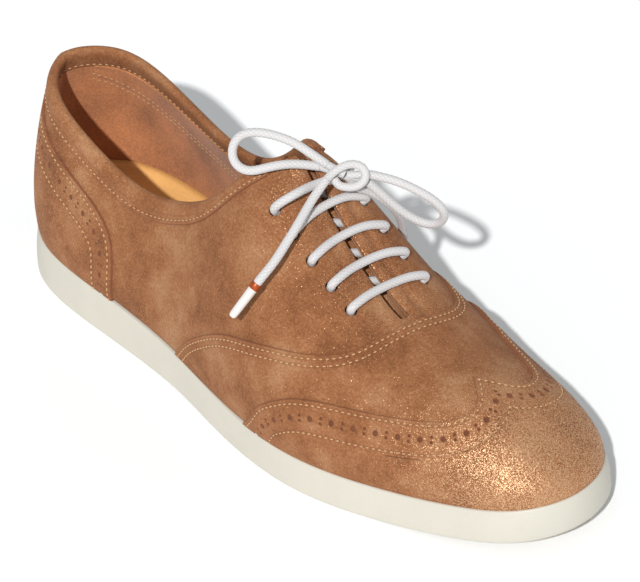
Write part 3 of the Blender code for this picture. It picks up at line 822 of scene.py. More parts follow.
MERGE_DECIMALS = 2  # points that agree to so many places, in millimetres, are one


def shell(name, outer, inner, *materials, shade=None):
    """A closed sheet between outer and inner grids of the same layout, with a shade at each outer point."""
    points = np.vstack([grid.reshape(-1, 3) for grid in outer])
    backs = np.vstack([grid.reshape(-1, 3) for grid in inner])
    faces = []
    start = 0
    for front, back in zip(outer, inner):
        rows, columns = front.shape[:2]
        quads = grid_faces(rows, columns, start)
        corners = points[quads]
        normal = np.cross(corners[:, 2] - corners[:, 0], corners[:, 3] - corners[:, 1])
        thick = (points[quads] - backs[quads]).mean(1)
        if (normal * thick).sum() < 0:
            quads = quads[:, ::-1]
        faces.append(quads)
        start += rows * columns
    rounded = np.round(points, MERGE_DECIMALS)
    _, first, index = np.unique(rounded, axis=0, return_index=True, return_inverse=True)
    index = index.reshape(-1)
    fronts = points[first]
    count = len(fronts)
    sums = np.zeros((count, 3))
    np.add.at(sums, index, backs)
    backs = sums / np.bincount(index)[:, None]
    faces = [list(dict.fromkeys(face)) for face in index[np.vstack(faces)].tolist()]
    faces = [face for face in faces if len(face) > 2]
    edges = collections.Counter((a, b) for face in faces for a, b in zip(face, face[1:] + face[:1]))
    rims = [[b, a, a + count, b + count] for a, b in edges if (b, a) not in edges]
    behind = [[i + count for i in reversed(face)] for face in faces]
    every = np.vstack([fronts, backs])
    shades = np.zeros(len(every))
    if shade is not None:
        shades[:count] = np.concatenate([values.ravel() for values in shade])[first]
    mesh = mesh_of(name, every, faces + behind + rims, dust=gold_dust(every), shade=shades)
    return add_object(name, mesh, *materials)


EDGE_PROFILE = (
    # distance from the cut edge, share of the panel's height
    (0.0, 0.02),
    (0.06, 0.42),
    (0.2, 0.78),
    (0.45, 0.95),
    (0.8, 1.0),
)
GROOVE_DEPTH = 0.22
GROOVE_WIDTH = 0.45
# painted shade in a seam's groove, as a share of a full shade
GROOVE_SHADE = 0.7
CUT_EDGE_SHADE = (0.1, 0.5)  # distance from the cut edge where its darkness starts to fade and ends: the cut fibres' own darker colour, and painted shade where the edge meets the leather below
STAY_REACH = 13.5  # x, where the counter's rows stop short of its back stay
STAY_FADE = 5.0  # length over which the painted shade in their grooves comes in


SEAM_ROWS = (-0.9, -0.4, 0.0, 0.4, 0.9)
PANEL_ROWS_START = 1.2
PANEL_ROW_PITCH = 1.6
PANEL_ROW_LEAST = 0.03
PANEL_MARGIN = 1.5  # past the last seam, where the rows along the edge end
PANEL_INSIDE = 9.0  # past it too, a distance that stands for all the inner rows


def panel_rows(seams):
    """Distances from the edge of a panel's rows: its rounded edge, then closer rows along each seam."""
    rows = list(column(EDGE_PROFILE, 0))
    rows += [seam + d for seam in seams for d in SEAM_ROWS]
    rows += list(np.arange(PANEL_ROWS_START, max(seams) + PANEL_MARGIN, PANEL_ROW_PITCH))
    rows = sorted(rows)
    return [d for i, d in enumerate(rows) if i == 0 or d - rows[i - 1] > PANEL_ROW_LEAST]


def panel_rise(distance, height):
    """How high a panel stands at a distance from its cut edge, without its seams' grooves."""
    return height * np.interp(distance, column(EDGE_PROFILE, 0), column(EDGE_PROFILE, 1))


def seam_groove(distance, seams):
    """How deep in a seam's groove a row of a panel lies, from 0 to 1."""
    return sum(bump(distance - seam, GROOVE_WIDTH) for seam in seams)


def panel_lines(edges, targets, seams, ends, inner_rows):
    """Rows of places for both sides of a panel, and each row's distance from its cut edge.

    A panel whose targets lie behind its edges runs back to the heel, and the others forward to the toe.
    """
    way = math.copysign(1, targets[LATERAL][0, 0] - edges[LATERAL][0, 0])
    rows = {side: [edges[side]] for side in SIDES}
    distances = panel_rows(seams)
    for before, distance in zip(distances, distances[1:]):
        moved = {side: shift(side, rows[side][-1], way * (distance - before), ends) for side in SIDES}
        if ends[1] is not None:
            meeting = (moved[LATERAL][-1, 0] + moved[MEDIAL][-1, 0]) / 2
            for side in SIDES:
                moved[side][-1, 0] = meeting
        for side in SIDES:
            rows[side].append(moved[side])
    for share in np.linspace(0, 1, inner_rows + 1)[1:]:
        for side in SIDES:
            rows[side].append((1 - share) * moved[side] + share * targets[side])
    distances += [max(seams) + PANEL_INSIDE] * inner_rows
    return {side: np.array(rows[side]) for side in SIDES}, np.array(distances)


def bake(piece):
    """Turns a piece's modifiers into plain mesh."""
    graph = bpy.context.evaluated_depsgraph_get()
    mesh = bpy.data.meshes.new_from_object(piece.evaluated_get(graph), depsgraph=graph)
    piece.modifiers.clear()
    piece.data = mesh
    return piece


def punch(piece, cutter):
    """Cuts the cutter out of the piece: the cut faces take the cutter's material."""
    cut = piece.modifiers.new("Punch", "BOOLEAN")
    cut.operation = "DIFFERENCE"
    cut.solver = "MANIFOLD"
    cut.object = cutter
    before = len(piece.data.polygons)
    bake(piece)
    if len(piece.data.polygons) <= before:
        raise RuntimeError(f"{piece.name}: the punches cut nothing out of it")
    return piece


def finish_piece(piece, slot, *nodes):
    """Sets the body that a piece rides on, and hides the nodes that it replaces."""
    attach(piece, BODY)
    if nodes:
        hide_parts(*nodes)
    return piece


def node(tree, kind, inputs=None, **settings):
    """Adds a node with its settings, and sets or links its inputs."""
    made = tree.nodes.new(kind)
    for key, value in settings.items():
        setattr(made, key, value)
    for key, value in (inputs or {}).items():
        if isinstance(value, bpy.types.NodeSocket):
            tree.links.new(value, made.inputs[key])
        else:
            made.inputs[key].default_value = value
    return made


def new_material(name):
    """A new material with its node tree and its Principled shader."""
    made = bpy.data.materials.new(name)
    made.use_nodes = True
    return made, made.node_tree, made.node_tree.nodes["Principled BSDF"]


def per_mm(millimetres):
    """The texture scale that gives one feature in so many millimetres."""
    return 1 / (millimetres * MM)


def rgba(colour, shade=1.0):
    return (*[c * shade for c in colour], 1.0)


SUEDE_STROKE = 20.0
SUEDE_NAP = 0.8
SUEDE_STOPS = (0.29, 0.5, 0.75)  # tones of dark, middling and light nap
SUEDE_ROUGHNESS = 0.92
NAP_TONE = 0.7  # how much the nap's grain changes the tone
NAP_DEPTH = 0.3
SHADE_SHARE = 0.75  # how far full painted shade goes to the punched edge's colour
DUST_GRAIN = 0.2
DUST_SHARE = 0.42  # share of the grains that are metal where dust lies thickest
DUST_METAL = 0.55
DUST_ROUGHNESS = 0.46
DUST_TILT = 0.45


def suede_material():
    """Bronze-dusted suede: buffed leather with a short nap in clouded strokes, and metal dust in it.

    The nap is matt and shows darker and lighter strokes. Each grain of dust lies at its own tilt, so
    that it glints only where the light falls right. The nap's grain and the dust are drawn about
    three times as coarse as they are, so that they show.
    """
    name = "buffed suede with bronze dust"
    if name in bpy.data.materials:
        return bpy.data.materials[name]
    made, tree, shader = new_material(name)
    paint = colours()
    place = node(tree, "ShaderNodeTexCoord").outputs["Object"]
    strokes = node(
        tree,
        "ShaderNodeTexNoise",
        {"Vector": place, "Scale": per_mm(SUEDE_STROKE), "Detail": 7.0, "Roughness": 0.62, "Distortion": 0.2},
    ).outputs["Fac"]
    nap = node(
        tree,
        "ShaderNodeTexNoise",
        {"Vector": place, "Scale": per_mm(SUEDE_NAP), "Detail": 3.0, "Roughness": 0.7},
    ).outputs["Fac"]
    tone = node(
        tree, "ShaderNodeMath", {0: nap, 1: NAP_TONE, 2: -NAP_TONE / 2}, operation="MULTIPLY_ADD"
    ).outputs[0]
    tone = node(tree, "ShaderNodeMath", {0: strokes, 1: tone}, operation="ADD").outputs[0]
    ramp = node(tree, "ShaderNodeValToRGB", {"Fac": tone})
    dark, middle, light = SUEDE_STOPS
    ramp.color_ramp.elements[0].position = dark
    ramp.color_ramp.elements[0].color = rgba(paint.suede_dark)
    ramp.color_ramp.elements[1].position = light
    ramp.color_ramp.elements[1].color = rgba(paint.suede_light)
    ramp.color_ramp.elements.new(middle).color = rgba(paint.suede)
    # painted shade along the panels' cut edges, in the seams' grooves and at the collar band's edges and
    # seam: the tone goes towards the punched edge's colour
    shade = node(tree, "ShaderNodeAttribute", attribute_name="shade").outputs["Fac"]
    shaded = node(tree, "ShaderNodeMath", {0: shade, 1: SHADE_SHARE}, operation="MULTIPLY").outputs[0]
    leather = node(
        tree,
        "ShaderNodeMix",
        {0: shaded, 6: ramp.outputs["Color"], 7: rgba(paint.punched)},
        data_type="RGBA",
    ).outputs[2]
    grains = node(
        tree, "ShaderNodeTexVoronoi", {"Vector": place, "Scale": per_mm(DUST_GRAIN)}
    ).outputs["Color"]
    chance = node(tree, "ShaderNodeSeparateColor", {"Color": grains}).outputs["Red"]
    dust = node(tree, "ShaderNodeAttribute", attribute_name="dust").outputs["Fac"]
    limit = node(
        tree, "ShaderNodeMath", {0: dust, 1: -DUST_SHARE, 2: 1.0}, operation="MULTIPLY_ADD"
    ).outputs[0]
    flake = node(tree, "ShaderNodeMath", {0: chance, 1: limit}, operation="GREATER_THAN").outputs[0]
    base = node(
        tree, "ShaderNodeMix", {0: flake, 6: leather, 7: rgba(paint.gold)}, data_type="RGBA"
    ).outputs[2]
    metal = node(tree, "ShaderNodeMath", {0: flake, 1: DUST_METAL}, operation="MULTIPLY").outputs[0]
    rough = node(
        tree,
        "ShaderNodeMath",
        {0: flake, 1: DUST_ROUGHNESS - SUEDE_ROUGHNESS, 2: SUEDE_ROUGHNESS},
        operation="MULTIPLY_ADD",
    ).outputs[0]
    buffed = node(
        tree, "ShaderNodeBump", {"Height": nap, "Strength": 0.4, "Distance": NAP_DEPTH * MM}
    ).outputs["Normal"]
    tilt = node(
        tree, "ShaderNodeVectorMath", {0: grains, 1: (0.5, 0.5, 0.5)}, operation="SUBTRACT"
    ).outputs[0]
    normal = node(tree, "ShaderNodeNewGeometry").outputs["Normal"]
    tilted = node(
        tree, "ShaderNodeVectorMath", {0: tilt, 1: (DUST_TILT,) * 3, 2: normal}, operation="MULTIPLY_ADD"
    ).outputs[0]
    tilted = node(tree, "ShaderNodeVectorMath", {0: tilted}, operation="NORMALIZE").outputs[0]
    facing = node(tree, "ShaderNodeMix", {0: flake, 4: buffed, 5: tilted}, data_type="VECTOR").outputs[1]
    looks = {"Base Color": base, "Metallic": metal, "Roughness": rough, "Normal": facing}
    for label, value in looks.items():
        tree.links.new(value, shader.inputs[label])
    shader.inputs["Sheen Weight"].default_value = 0.2
    shader.inputs["Sheen Roughness"].default_value = 0.5
    shader.inputs["Sheen Tint"].default_value = rgba(paint.suede_light)
    return made


CLOUD = 18  # how many times as broad as its grain a plain material's clouds are


def plain_grain_material(name, colour, grain, contrast, roughness, depth, sheen=0.0, coat=0.0, metallic=0.0):
    """A material of one colour with a fine grain in its tone and surface, its sizes in millimetres."""
    if name in bpy.data.materials:
        return bpy.data.materials[name]
    made, tree, shader = new_material(name)
    place = node(tree, "ShaderNodeTexCoord").outputs["Object"]
    fine = node(
        tree, "ShaderNodeTexNoise", {"Vector": place, "Scale": per_mm(grain), "Detail": 4.0, "Roughness": 0.6}
    ).outputs["Fac"]
    broad = node(
        tree, "ShaderNodeTexNoise", {"Vector": place, "Scale": per_mm(grain * CLOUD), "Detail": 3.0}
    ).outputs["Fac"]
    tone = node(tree, "ShaderNodeMath", {0: fine, 1: broad}, operation="ADD").outputs[0]
    share = node(
        tree, "ShaderNodeMapRange", {"Value": tone, "From Min": 0.7, "From Max": 1.3}
    ).outputs["Result"]
    light = rgba([min(1.0, c * (1 + contrast)) for c in colour])
    mix = node(tree, "ShaderNodeMix", {0: share, 6: rgba(colour, 1 - contrast), 7: light}, data_type="RGBA")
    tree.links.new(mix.outputs[2], shader.inputs["Base Color"])
    grained = node(tree, "ShaderNodeBump", {"Height": fine, "Strength": 0.3, "Distance": depth * MM})
    tree.links.new(grained.outputs["Normal"], shader.inputs["Normal"])
    shader.inputs["Roughness"].default_value = roughness
    shader.inputs["Sheen Weight"].default_value = sheen
    shader.inputs["Coat Weight"].default_value = coat
    shader.inputs["Metallic"].default_value = metallic
    return made


def lining_material():
    """Suede lining: undyed split leather with a short even nap, matt and warm."""
    return plain_grain_material(
        "buffed split leather lining",
        colours().lining,
        grain=0.9,
        contrast=0.34,
        roughness=0.95,
        depth=0.35,
        sheen=0.2,
    )


def insole_material():
    """Smooth tan leather: rolled vegetable-tanned calf with a fine grain and a faint polish."""
    return plain_grain_material(
        "rolled tan leather", colours().insole, grain=0.8, contrast=0.1, roughness=0.55, depth=0.12
    )


def rubber_material():
    """Cream foamed rubber: moulded in one piece, satin, with a faint pebble from the mould."""
    return plain_grain_material(
        "moulded cream rubber", colours().sole, grain=0.7, contrast=0.03, roughness=0.5, depth=0.05
    )


def punched_edge_and_shade_material():
    """Raw edge of punched leather: dark fibres, darker still as painted shade on the walls and floors of the
    holes and eyelets.
    """
    return plain_grain_material(
        "punched leather edge", colours().punched, grain=0.5, contrast=0.25, roughness=0.95, depth=0.1
    )


def thread_material():
    """Waxed polyester sewing thread: fine twisted strands with a slight gloss."""
    return plain_grain_material(
        "waxed sewing thread", colours().thread, grain=0.3, contrast=0.12, roughness=0.5, depth=0.05
    )


def sleeve_material():
    """Clear lace tip: a heat-shrunk acetate sleeve, glossy over the white lace."""
    return plain_grain_material(
        "shrunk acetate sleeve",
        colours().aglet,
        grain=1.2,
        contrast=0.04,
        roughness=0.22,
        depth=0.05,
        coat=0.6,
    )


def ring_material():
    """Copper ring: lacquered foil wound round the lace, a soft metal shine."""
    return plain_grain_material(
        "lacquered copper foil",
        colours().ring,
        grain=0.6,
        contrast=0.1,
        roughness=0.38,
        depth=0.03,
        metallic=0.7,
    )


def floor_material():
    """Studio floor: matt white painted board, with a faint roller grain."""
    return plain_grain_material(
        "rolled matt floor paint", colours().floor, grain=3.0, contrast=0.004, roughness=0.9, depth=0.02
    )


FIBRE = 0.5
FIBRE_DEPTH = 0.1
BETWEEN_STRANDS = 0.72  # painted shade: how bright the lace is between its strands


def braid_material():
    """Braided cotton cord: matt white strands that cross in small diamonds, with painted shade between them.
    """
    name = "braided cotton cord"
    if name in bpy.data.materials:
        return bpy.data.materials[name]
    made, tree, shader = new_material(name)
    lay = node(tree, "ShaderNodeAttribute", attribute_name="braid").outputs["Fac"]
    dark, light = rgba(colours().lace, BETWEEN_STRANDS), rgba(colours().lace)
    mix = node(tree, "ShaderNodeMix", {0: lay, 6: dark, 7: light}, data_type="RGBA")
    tree.links.new(mix.outputs[2], shader.inputs["Base Color"])
    place = node(tree, "ShaderNodeTexCoord").outputs["Object"]
    fibre = node(
        tree, "ShaderNodeTexNoise", {"Vector": place, "Scale": per_mm(FIBRE), "Detail": 2.0}
    ).outputs["Fac"]
    rough = node(tree, "ShaderNodeBump", {"Height": fibre, "Strength": 0.3, "Distance": FIBRE_DEPTH * MM})
    tree.links.new(rough.outputs["Normal"], shader.inputs["Normal"])
    shader.inputs["Roughness"].default_value = 0.85
    shader.inputs["Sheen Weight"].default_value = 0.2
    return made


def smooth_route(points, step):
    """Evenly spaced points on a smooth curve through the route's points."""
    points = np.asarray(points, float)
    at = run_length(points)
    runs = [spline(at, points[:, i]) for i in range(3)]
    fine = np.linspace(0, at[-1], ROUTE_SAMPLES)
    line = np.stack([run(fine) for run in runs], 1)
    length = run_length(line)
    count = max(3, round(length[-1] / step) + 1)
    spaced = np.linspace(0, length[-1], count)
    return np.stack([np.interp(spaced, length, line[:, i]) for i in range(3)], 1)


ASIDE = (0.3, 0.2, 1.0)  # a direction that no lace runs along


def across_line(points):
    """Two directions across a line at each of its points, which turn as little as they can."""
    tangent = unit(np.gradient(points, axis=0))
    across = np.zeros_like(points)
    across[0] = unit(np.cross(tangent[0], ASIDE))
    for i in range(1, len(points)):
        across[i] = unit(across[i - 1] - tangent[i] * (across[i - 1] @ tangent[i]))
    return across, np.cross(tangent, across)


LACE_STEP = 0.42
LACE_AROUND = 24
BRAID_STRANDS = 3
BRAID_RELIEF = 0.13
BRAID_MEAN = 0.55  # height of a strand that lies at the lace's own radius


def braided_tube(points, diameter):
    """Points, faces and strand heights of a braided cord."""
    across, other = across_line(points)
    at = run_length(points)
    turn = np.linspace(0, 2 * math.pi, LACE_AROUND, endpoint=False)
    pick = mm(sizes().braid_pick)
    one = np.cos(BRAID_STRANDS * turn + math.pi * at[:, None] / pick)
    two = np.cos(BRAID_STRANDS * turn - math.pi * at[:, None] / pick)
    strand = np.sqrt(np.abs(one * two))
    radius = diameter / 2 + BRAID_RELIEF * (strand - BRAID_MEAN)
    spokes = np.cos(turn)[:, None] * across[:, None] + np.sin(turn)[:, None] * other[:, None]
    ring = points[:, None] + radius[..., None] * spokes
    faces = ring_faces(len(points), LACE_AROUND) + end_faces(len(points), LACE_AROUND)
    return ring.reshape(-1, 3), faces, strand.reshape(-1)


def braided_piece(name, lines, diameter=LACE):
    """One piece of braided cord along one line or several."""
    points, faces, strands = [], [], []
    start = 0
    for line in lines:
        ring, tube_faces, strand = braided_tube(line, diameter)
        points.append(ring)
        faces += [[i + start for i in face] for face in tube_faces]
        strands.append(strand)
        start += len(ring)
    mesh = mesh_of(name, np.vstack(points), faces, braid=np.concatenate(strands))
    return add_object(name, mesh, braid_material())


def eyelet_row(side, x):
    """Distance of the eyelets from the ridge, beside its point at x."""
    return np.interp(x, column(EYELET_ROWS, 0), column(EYELET_ROWS, 1 if side == LATERAL else 2))


def eyelet(side, pair):
    """Middle of an eyelet and the direction of its hole."""
    x = EYELET_FIRST - pair * EYELET_PITCH
    along = ridge_along(x)
    up = level_at(side, along, eyelet_row(side, x))
    return last(side, along, up), outward(side, along, up)


def over_facing(side, x, distance, offset):
    """A point at an offset over a facing, so far to the side of the ridge's point at x."""
    along = ridge_along(x)
    return wall(side, along, level_at(side, along, distance), offset)


BAR_ENDS = (-2.4, -0.4, 0.9)  # places of a bar's end along its eyelet's hole
BAR_SHARES = (0.8, 0.4)  # places of a bar over its facing, as shares of the way from ridge to eyelet


def lace_bar(pair):
    """A straight bar over the throat, from inside one eyelet to inside the other."""
    x = EYELET_FIRST - pair * EYELET_PITCH
    route = []
    for side in SIDES:
        point, way = eyelet(side, pair)
        half = [point + place * way for place in BAR_ENDS]
        row = eyelet_row(side, x)
        half += [over_facing(side, x, share * row, LACE / 2 + LACE_LIFT) for share in BAR_SHARES]
        route += half if side == LATERAL else half[::-1]
    return smooth_route(route, LACE_STEP)


LEAD_ENDS = (-2.0, 0.75)  # places of a lead's end along its eyelet's hole
LEAD_SHARE = 0.7  # where it arches, as a share of the way from ridge to eyelet
LEAD_INSIDE = 0.4  # how far from the knot's middle it ends, as a share of the way to its rim


def lace_lead(side):
    """The lace from a top eyelet over the facing and up to the knot."""
    point, way = eyelet(side, EYELET_PAIRS - 1)
    height = LACE / 2 + LACE_LIFT + LEAD_LIFT[side]
    over = over_facing(side, LEAD_BEND, LEAD_SHARE * eyelet_row(side, LEAD_BEND), height)
    to_rim = np.array(LEAD_RIM) * (1, side, 1)
    route = [point + place * way for place in LEAD_ENDS]
    route += [over, np.array(KNOT) + to_rim, np.array(KNOT) + LEAD_INSIDE * to_rim]
    return smooth_route(route, LACE_STEP)


CROSSING_DEPTH = WALL + 2.0
CROSSING_ENDS = (-1.2, -3.2)  # places of a crossing's end along its eyelet's hole
CROSSING_ROUTE = (
    # share of the eyelets' pitch, side, distance from the ridge
    (0.3, MEDIAL, 8.0),
    (0.5, MEDIAL, 0.4),
    (0.7, LATERAL, 8.0),
)


def lace_crossing(pair):
    """The lace under the facings, from a bar's medial eyelet to the next bar's lateral one."""
    start, down = eyelet(MEDIAL, pair)
    end, up = eyelet(LATERAL, pair + 1)
    x = EYELET_FIRST - pair * EYELET_PITCH
    route = [start + place * down for place in CROSSING_ENDS]
    for share, side, distance in CROSSING_ROUTE:
        route.append(over_facing(side, x - share * EYELET_PITCH, distance, -CROSSING_DEPTH))
    route += [end + place * up for place in CROSSING_ENDS[::-1]]
    return smooth_route(route, LACE_STEP)


def rows_mesh(name, rows):
    """Open lines of points with the surface's direction at each, for the trees to follow."""
    points = np.vstack([placed(points) for points, _ in rows])
    normals = np.vstack([normals for _, normals in rows])
    edges = []
    start = 0
    for line, _ in rows:
        edges += [(start + i, start + i + 1) for i in range(len(line) - 1)]
        start += len(line)
    mesh = bpy.data.meshes.new(name)
    mesh.from_pydata(points.tolist(), edges, [])
    facing = mesh.attributes.new("surface_normal", "FLOAT_VECTOR", "POINT")
    facing.data.foreach_set("vector", normals.astype(np.float32).ravel())
    return add_object(name, mesh)


def new_tree(name, *lengths):
    """A Geometry Nodes tree with named inputs: its group, its input node and its sockets' identifiers."""
    tree = bpy.data.node_groups.new(name, "GeometryNodeTree")
    kinds = {"Rows": "NodeSocketGeometry"}
    kinds.update(dict.fromkeys(lengths, "NodeSocketFloat"))
    kinds["Material"] = "NodeSocketMaterial"
    sockets = {}
    for label, kind in kinds.items():
        made = tree.interface.new_socket(label, in_out="INPUT", socket_type=kind)
        sockets[label] = made.identifier
    tree.interface.new_socket("Result", in_out="OUTPUT", socket_type="NodeSocketGeometry")
    return tree, node(tree, "NodeGroupInput"), sockets


def end_tree(tree, given, instances):
    """Closes a tree: its instances become plain smooth mesh with the material that is given."""
    mesh = node(tree, "GeometryNodeRealizeInstances", {"Geometry": instances}).outputs["Geometry"]
    mesh = node(tree, "GeometryNodeSetShadeSmooth", {"Geometry": mesh}).outputs["Geometry"]
    look = {"Geometry": mesh, "Material": given.outputs["Material"]}
    mesh = node(tree, "GeometryNodeSetMaterial", look).outputs["Geometry"]
    node(tree, "NodeGroupOutput", {"Result": mesh})


def run_tree(piece, built, values):
    """Runs a tree on the piece with its inputs set, and keeps the result as plain mesh."""
    tree, _, sockets = built
    modifier = piece.modifiers.new(tree.name, "NODES")
    modifier.node_group = tree
    for label, value in values.items():
        modifier[sockets[label]] = value
    return bake(piece)


def facing_rotation(tree):
    """Rotation that lays X along the row and Z along the surface's direction."""
    normal = node(
        tree, "GeometryNodeInputNamedAttribute", {"Name": "surface_normal"}, data_type="FLOAT_VECTOR"
    ).outputs["Attribute"]
    tangent = node(tree, "GeometryNodeInputTangent").outputs["Tangent"]
    turn = node(
        tree,
        "FunctionNodeAxesToRotation",
        {"Primary Axis": normal, "Secondary Axis": tangent},
        primary_axis="Z",
        secondary_axis="X",
    )
    return turn.outputs["Rotation"], normal, tangent


def stitch_tree():
    """Lays one thread stitch at each pitch along the rows."""
    built = new_tree("Lay stitches", "Pitch", "Length", "Thread")
    tree, given, _ = built
    line = node(tree, "GeometryNodeMeshToCurve", {"Mesh": given.outputs["Rows"]}).outputs["Curve"]
    steps = node(
        tree, "GeometryNodeResampleCurve", {"Curve": line, "Length": given.outputs["Pitch"]}, mode="LENGTH"
    ).outputs["Curve"]
    ball = node(tree, "GeometryNodeMeshUVSphere", {"Segments": 6, "Rings": 5, "Radius": 0.5}).outputs["Mesh"]
    size = node(
        tree,
        "ShaderNodeCombineXYZ",
        {"X": given.outputs["Length"], "Y": given.outputs["Thread"], "Z": given.outputs["Thread"]},
    ).outputs["Vector"]
    rotation, _, _ = facing_rotation(tree)
    stitches = node(
        tree,
        "GeometryNodeInstanceOnPoints",
        {"Points": steps, "Instance": ball, "Rotation": rotation, "Scale": size},
    ).outputs["Instances"]
    end_tree(tree, given, stitches)
    return built


SMALL_SPREAD = 0.85  # from the row to the middle of each small hole, in its diameters


def brogue_tree():
    """Sets punches along the rows: one large, then two small ones side by side, and so on."""
    built = new_tree("Set brogue punches", "Pitch", "Large", "Small", "Depth")
    tree, given, _ = built
    half = node(tree, "ShaderNodeMath", {0: given.outputs["Pitch"], 1: 0.5}, operation="MULTIPLY").outputs[0]
    line = node(tree, "GeometryNodeMeshToCurve", {"Mesh": given.outputs["Rows"]}).outputs["Curve"]
    steps = node(
        tree, "GeometryNodeResampleCurve", {"Curve": line, "Length": half}, mode="LENGTH"
    ).outputs["Curve"]
    index = node(tree, "GeometryNodeInputIndex").outputs["Index"]
    odd = node(tree, "ShaderNodeMath", {0: index, 1: 2.0}, operation="MODULO").outputs[0]
    large = node(tree, "ShaderNodeMath", {0: 1.0, 1: odd}, operation="SUBTRACT").outputs[0]
    rotation, normal, tangent = facing_rotation(tree)
    across = node(tree, "ShaderNodeVectorMath", {0: normal, 1: tangent}, operation="CROSS_PRODUCT").outputs[0]
    together = node(tree, "GeometryNodeJoinGeometry")
    for size, chosen, share in (
        ("Large", large, 0.0),
        ("Small", odd, SMALL_SPREAD),
        ("Small", odd, -SMALL_SPREAD),
    ):
        spread = node(
            tree, "ShaderNodeMath", {0: given.outputs["Small"], 1: share}, operation="MULTIPLY"
        ).outputs[0]
        aside = node(tree, "ShaderNodeVectorMath", {0: across, "Scale": spread}, operation="SCALE").outputs[0]
        points = node(
            tree, "GeometryNodeSetPosition", {"Geometry": steps, "Offset": aside}
        ).outputs["Geometry"]
        radius = node(
            tree, "ShaderNodeMath", {0: given.outputs[size], 1: 0.5}, operation="MULTIPLY"
        ).outputs[0]
        punch_mesh = node(
            tree,
            "GeometryNodeMeshCylinder",
            {"Vertices": 14, "Radius": radius, "Depth": given.outputs["Depth"]},
        ).outputs["Mesh"]
        punches = node(
            tree,
            "GeometryNodeInstanceOnPoints",
            {"Points": points, "Selection": chosen, "Instance": punch_mesh, "Rotation": rotation},
        ).outputs["Instances"]
        tree.links.new(punches, together.inputs["Geometry"])
    end_tree(tree, given, together.outputs["Geometry"])
    return built


def eyelet_tree():
    """Sets one punch at each point."""
    built = new_tree("Set eyelet punches", "Diameter", "Depth")
    tree, given, _ = built
    radius = node(
        tree, "ShaderNodeMath", {0: given.outputs["Diameter"], 1: 0.5}, operation="MULTIPLY"
    ).outputs[0]
    punch_mesh = node(
        tree,
        "GeometryNodeMeshCylinder",
        {"Vertices": 24, "Radius": radius, "Depth": given.outputs["Depth"]},
    ).outputs["Mesh"]
    normal = node(
        tree, "GeometryNodeInputNamedAttribute", {"Name": "surface_normal"}, data_type="FLOAT_VECTOR"
    ).outputs["Attribute"]
    turn = node(tree, "FunctionNodeAlignRotationToVector", {"Vector": normal}, axis="Z").outputs["Rotation"]
    punches = node(
        tree,
        "GeometryNodeInstanceOnPoints",
        {"Points": given.outputs["Rows"], "Instance": punch_mesh, "Rotation": turn},
    ).outputs["Instances"]
    end_tree(tree, given, punches)
    return built


def sew(name, rows, slot, thread=1.0):
    """One piece of stitches along rows of points and normals, in thread of so many thicknesses."""
    piece = rows_mesh(name, rows)
    values = {
        "Pitch": sizes().stitch_pitch,
        "Length": sizes().stitch_length,
        "Thread": thread * sizes().thread,
        "Material": thread_material(),
    }
    run_tree(piece, stitch_tree(), values)
    return finish_piece(piece, slot)


PUNCH_DEPTH = 1.9
EYELET_DEPTH = 9.0


def brogue(piece, rows):
    """Punches the brogue's holes into a panel along rows of points and normals."""
    cutter = rows_mesh("brogue_punches", rows)
    values = {
        "Pitch": sizes().brogue_pitch,
        "Large": sizes().large_hole,
        "Small": sizes().small_hole,
        "Depth": PUNCH_DEPTH * MM,
        "Material": punched_edge_and_shade_material(),
    }
    run_tree(cutter, brogue_tree(), values)
    punch(piece, cutter)
    bpy.data.objects.remove(cutter)


def eyelet_cutter():
    """Punches that stand in all the eyelets."""
    rows = []
    for side in SIDES:
        found = [eyelet(side, pair) for pair in range(EYELET_PAIRS)]
        rows.append((np.array([f[0] for f in found]), np.array([f[1] for f in found])))
    cutter = rows_mesh("eyelet_punches", rows)
    values = {"Diameter": 2 * EYELET_RADIUS * MM, "Depth": EYELET_DEPTH * MM}
    values["Material"] = punched_edge_and_shade_material()
    return run_tree(cutter, eyelet_tree(), values)


def on_surface(side, line, offset):
    """A row of points at an offset over a line of places, with the surface's direction at each."""
    return wall(side, line[:, 0], line[:, 1], offset), outward(side, line[:, 0], line[:, 1])


EDGE_COLUMNS = 150
PANEL_BACK = 0.12  # how far a panel reaches below the surface that it lies on
STITCH_SINK = 0.25  # how deep its stitches lie, as a share of their groove


def sewn_panel(name, edges, targets, base, height, seams, ends, inner_rows):
    """A panel over both sides of the last, its stitches' rows and the lines of its brogue band."""
    lines, distances = panel_lines(edges, targets, seams, ends, inner_rows)
    groove = seam_groove(distances, seams)[:, None]
    offsets = base + panel_rise(distances, height)[:, None] - GROOVE_DEPTH * groove
    # painted shade: dark along the cut edge where it meets the leather below, and in the seams' grooves
    edge_shade = np.interp(distances, CUT_EDGE_SHADE, (1, 0))[:, None]
    outer, inner, rows, bands, shades = [], [], [], [], []
    for side in SIDES:
        along, up = lines[side][..., 0], lines[side][..., 1]
        x = wall(side, along, up, base)[..., 0]
        groove_shade = groove * rising(x, (STAY_REACH, STAY_REACH + STAY_FADE))
        shades.append(np.maximum(edge_shade, GROOVE_SHADE * groove_shade))
        outer.append(wall(side, along, up, offsets))
        inner.append(wall(side, along, up, base - PANEL_BACK))
        for seam in seams:
            line = lines[side][np.argmin(np.abs(distances - seam))]
            rows.append(on_surface(side, line, base + height - STITCH_SINK * GROOVE_DEPTH))
        middle = lines[side][np.argmin(np.abs(distances - (seams[0] + seams[-1]) / 2))]
        bands.append(on_surface(side, middle, base + height))
    piece = shell(name, outer, inner, suede_material(), punched_edge_and_shade_material(), shade=shades)
    return piece, rows, bands


def joined(rows):
    """Two sides' rows that meet at their last point, as one row."""
    (first, first_normals), (second, second_normals) = rows
    return np.vstack([first, second[-2::-1]]), np.vstack([first_normals, second_normals[-2::-1]])


def toe_target():
    """The toe's centre line, which a panel's inner rows run to."""
    return np.stack([np.ones(EDGE_COLUMNS), np.linspace(0, 1, EDGE_COLUMNS)], 1)


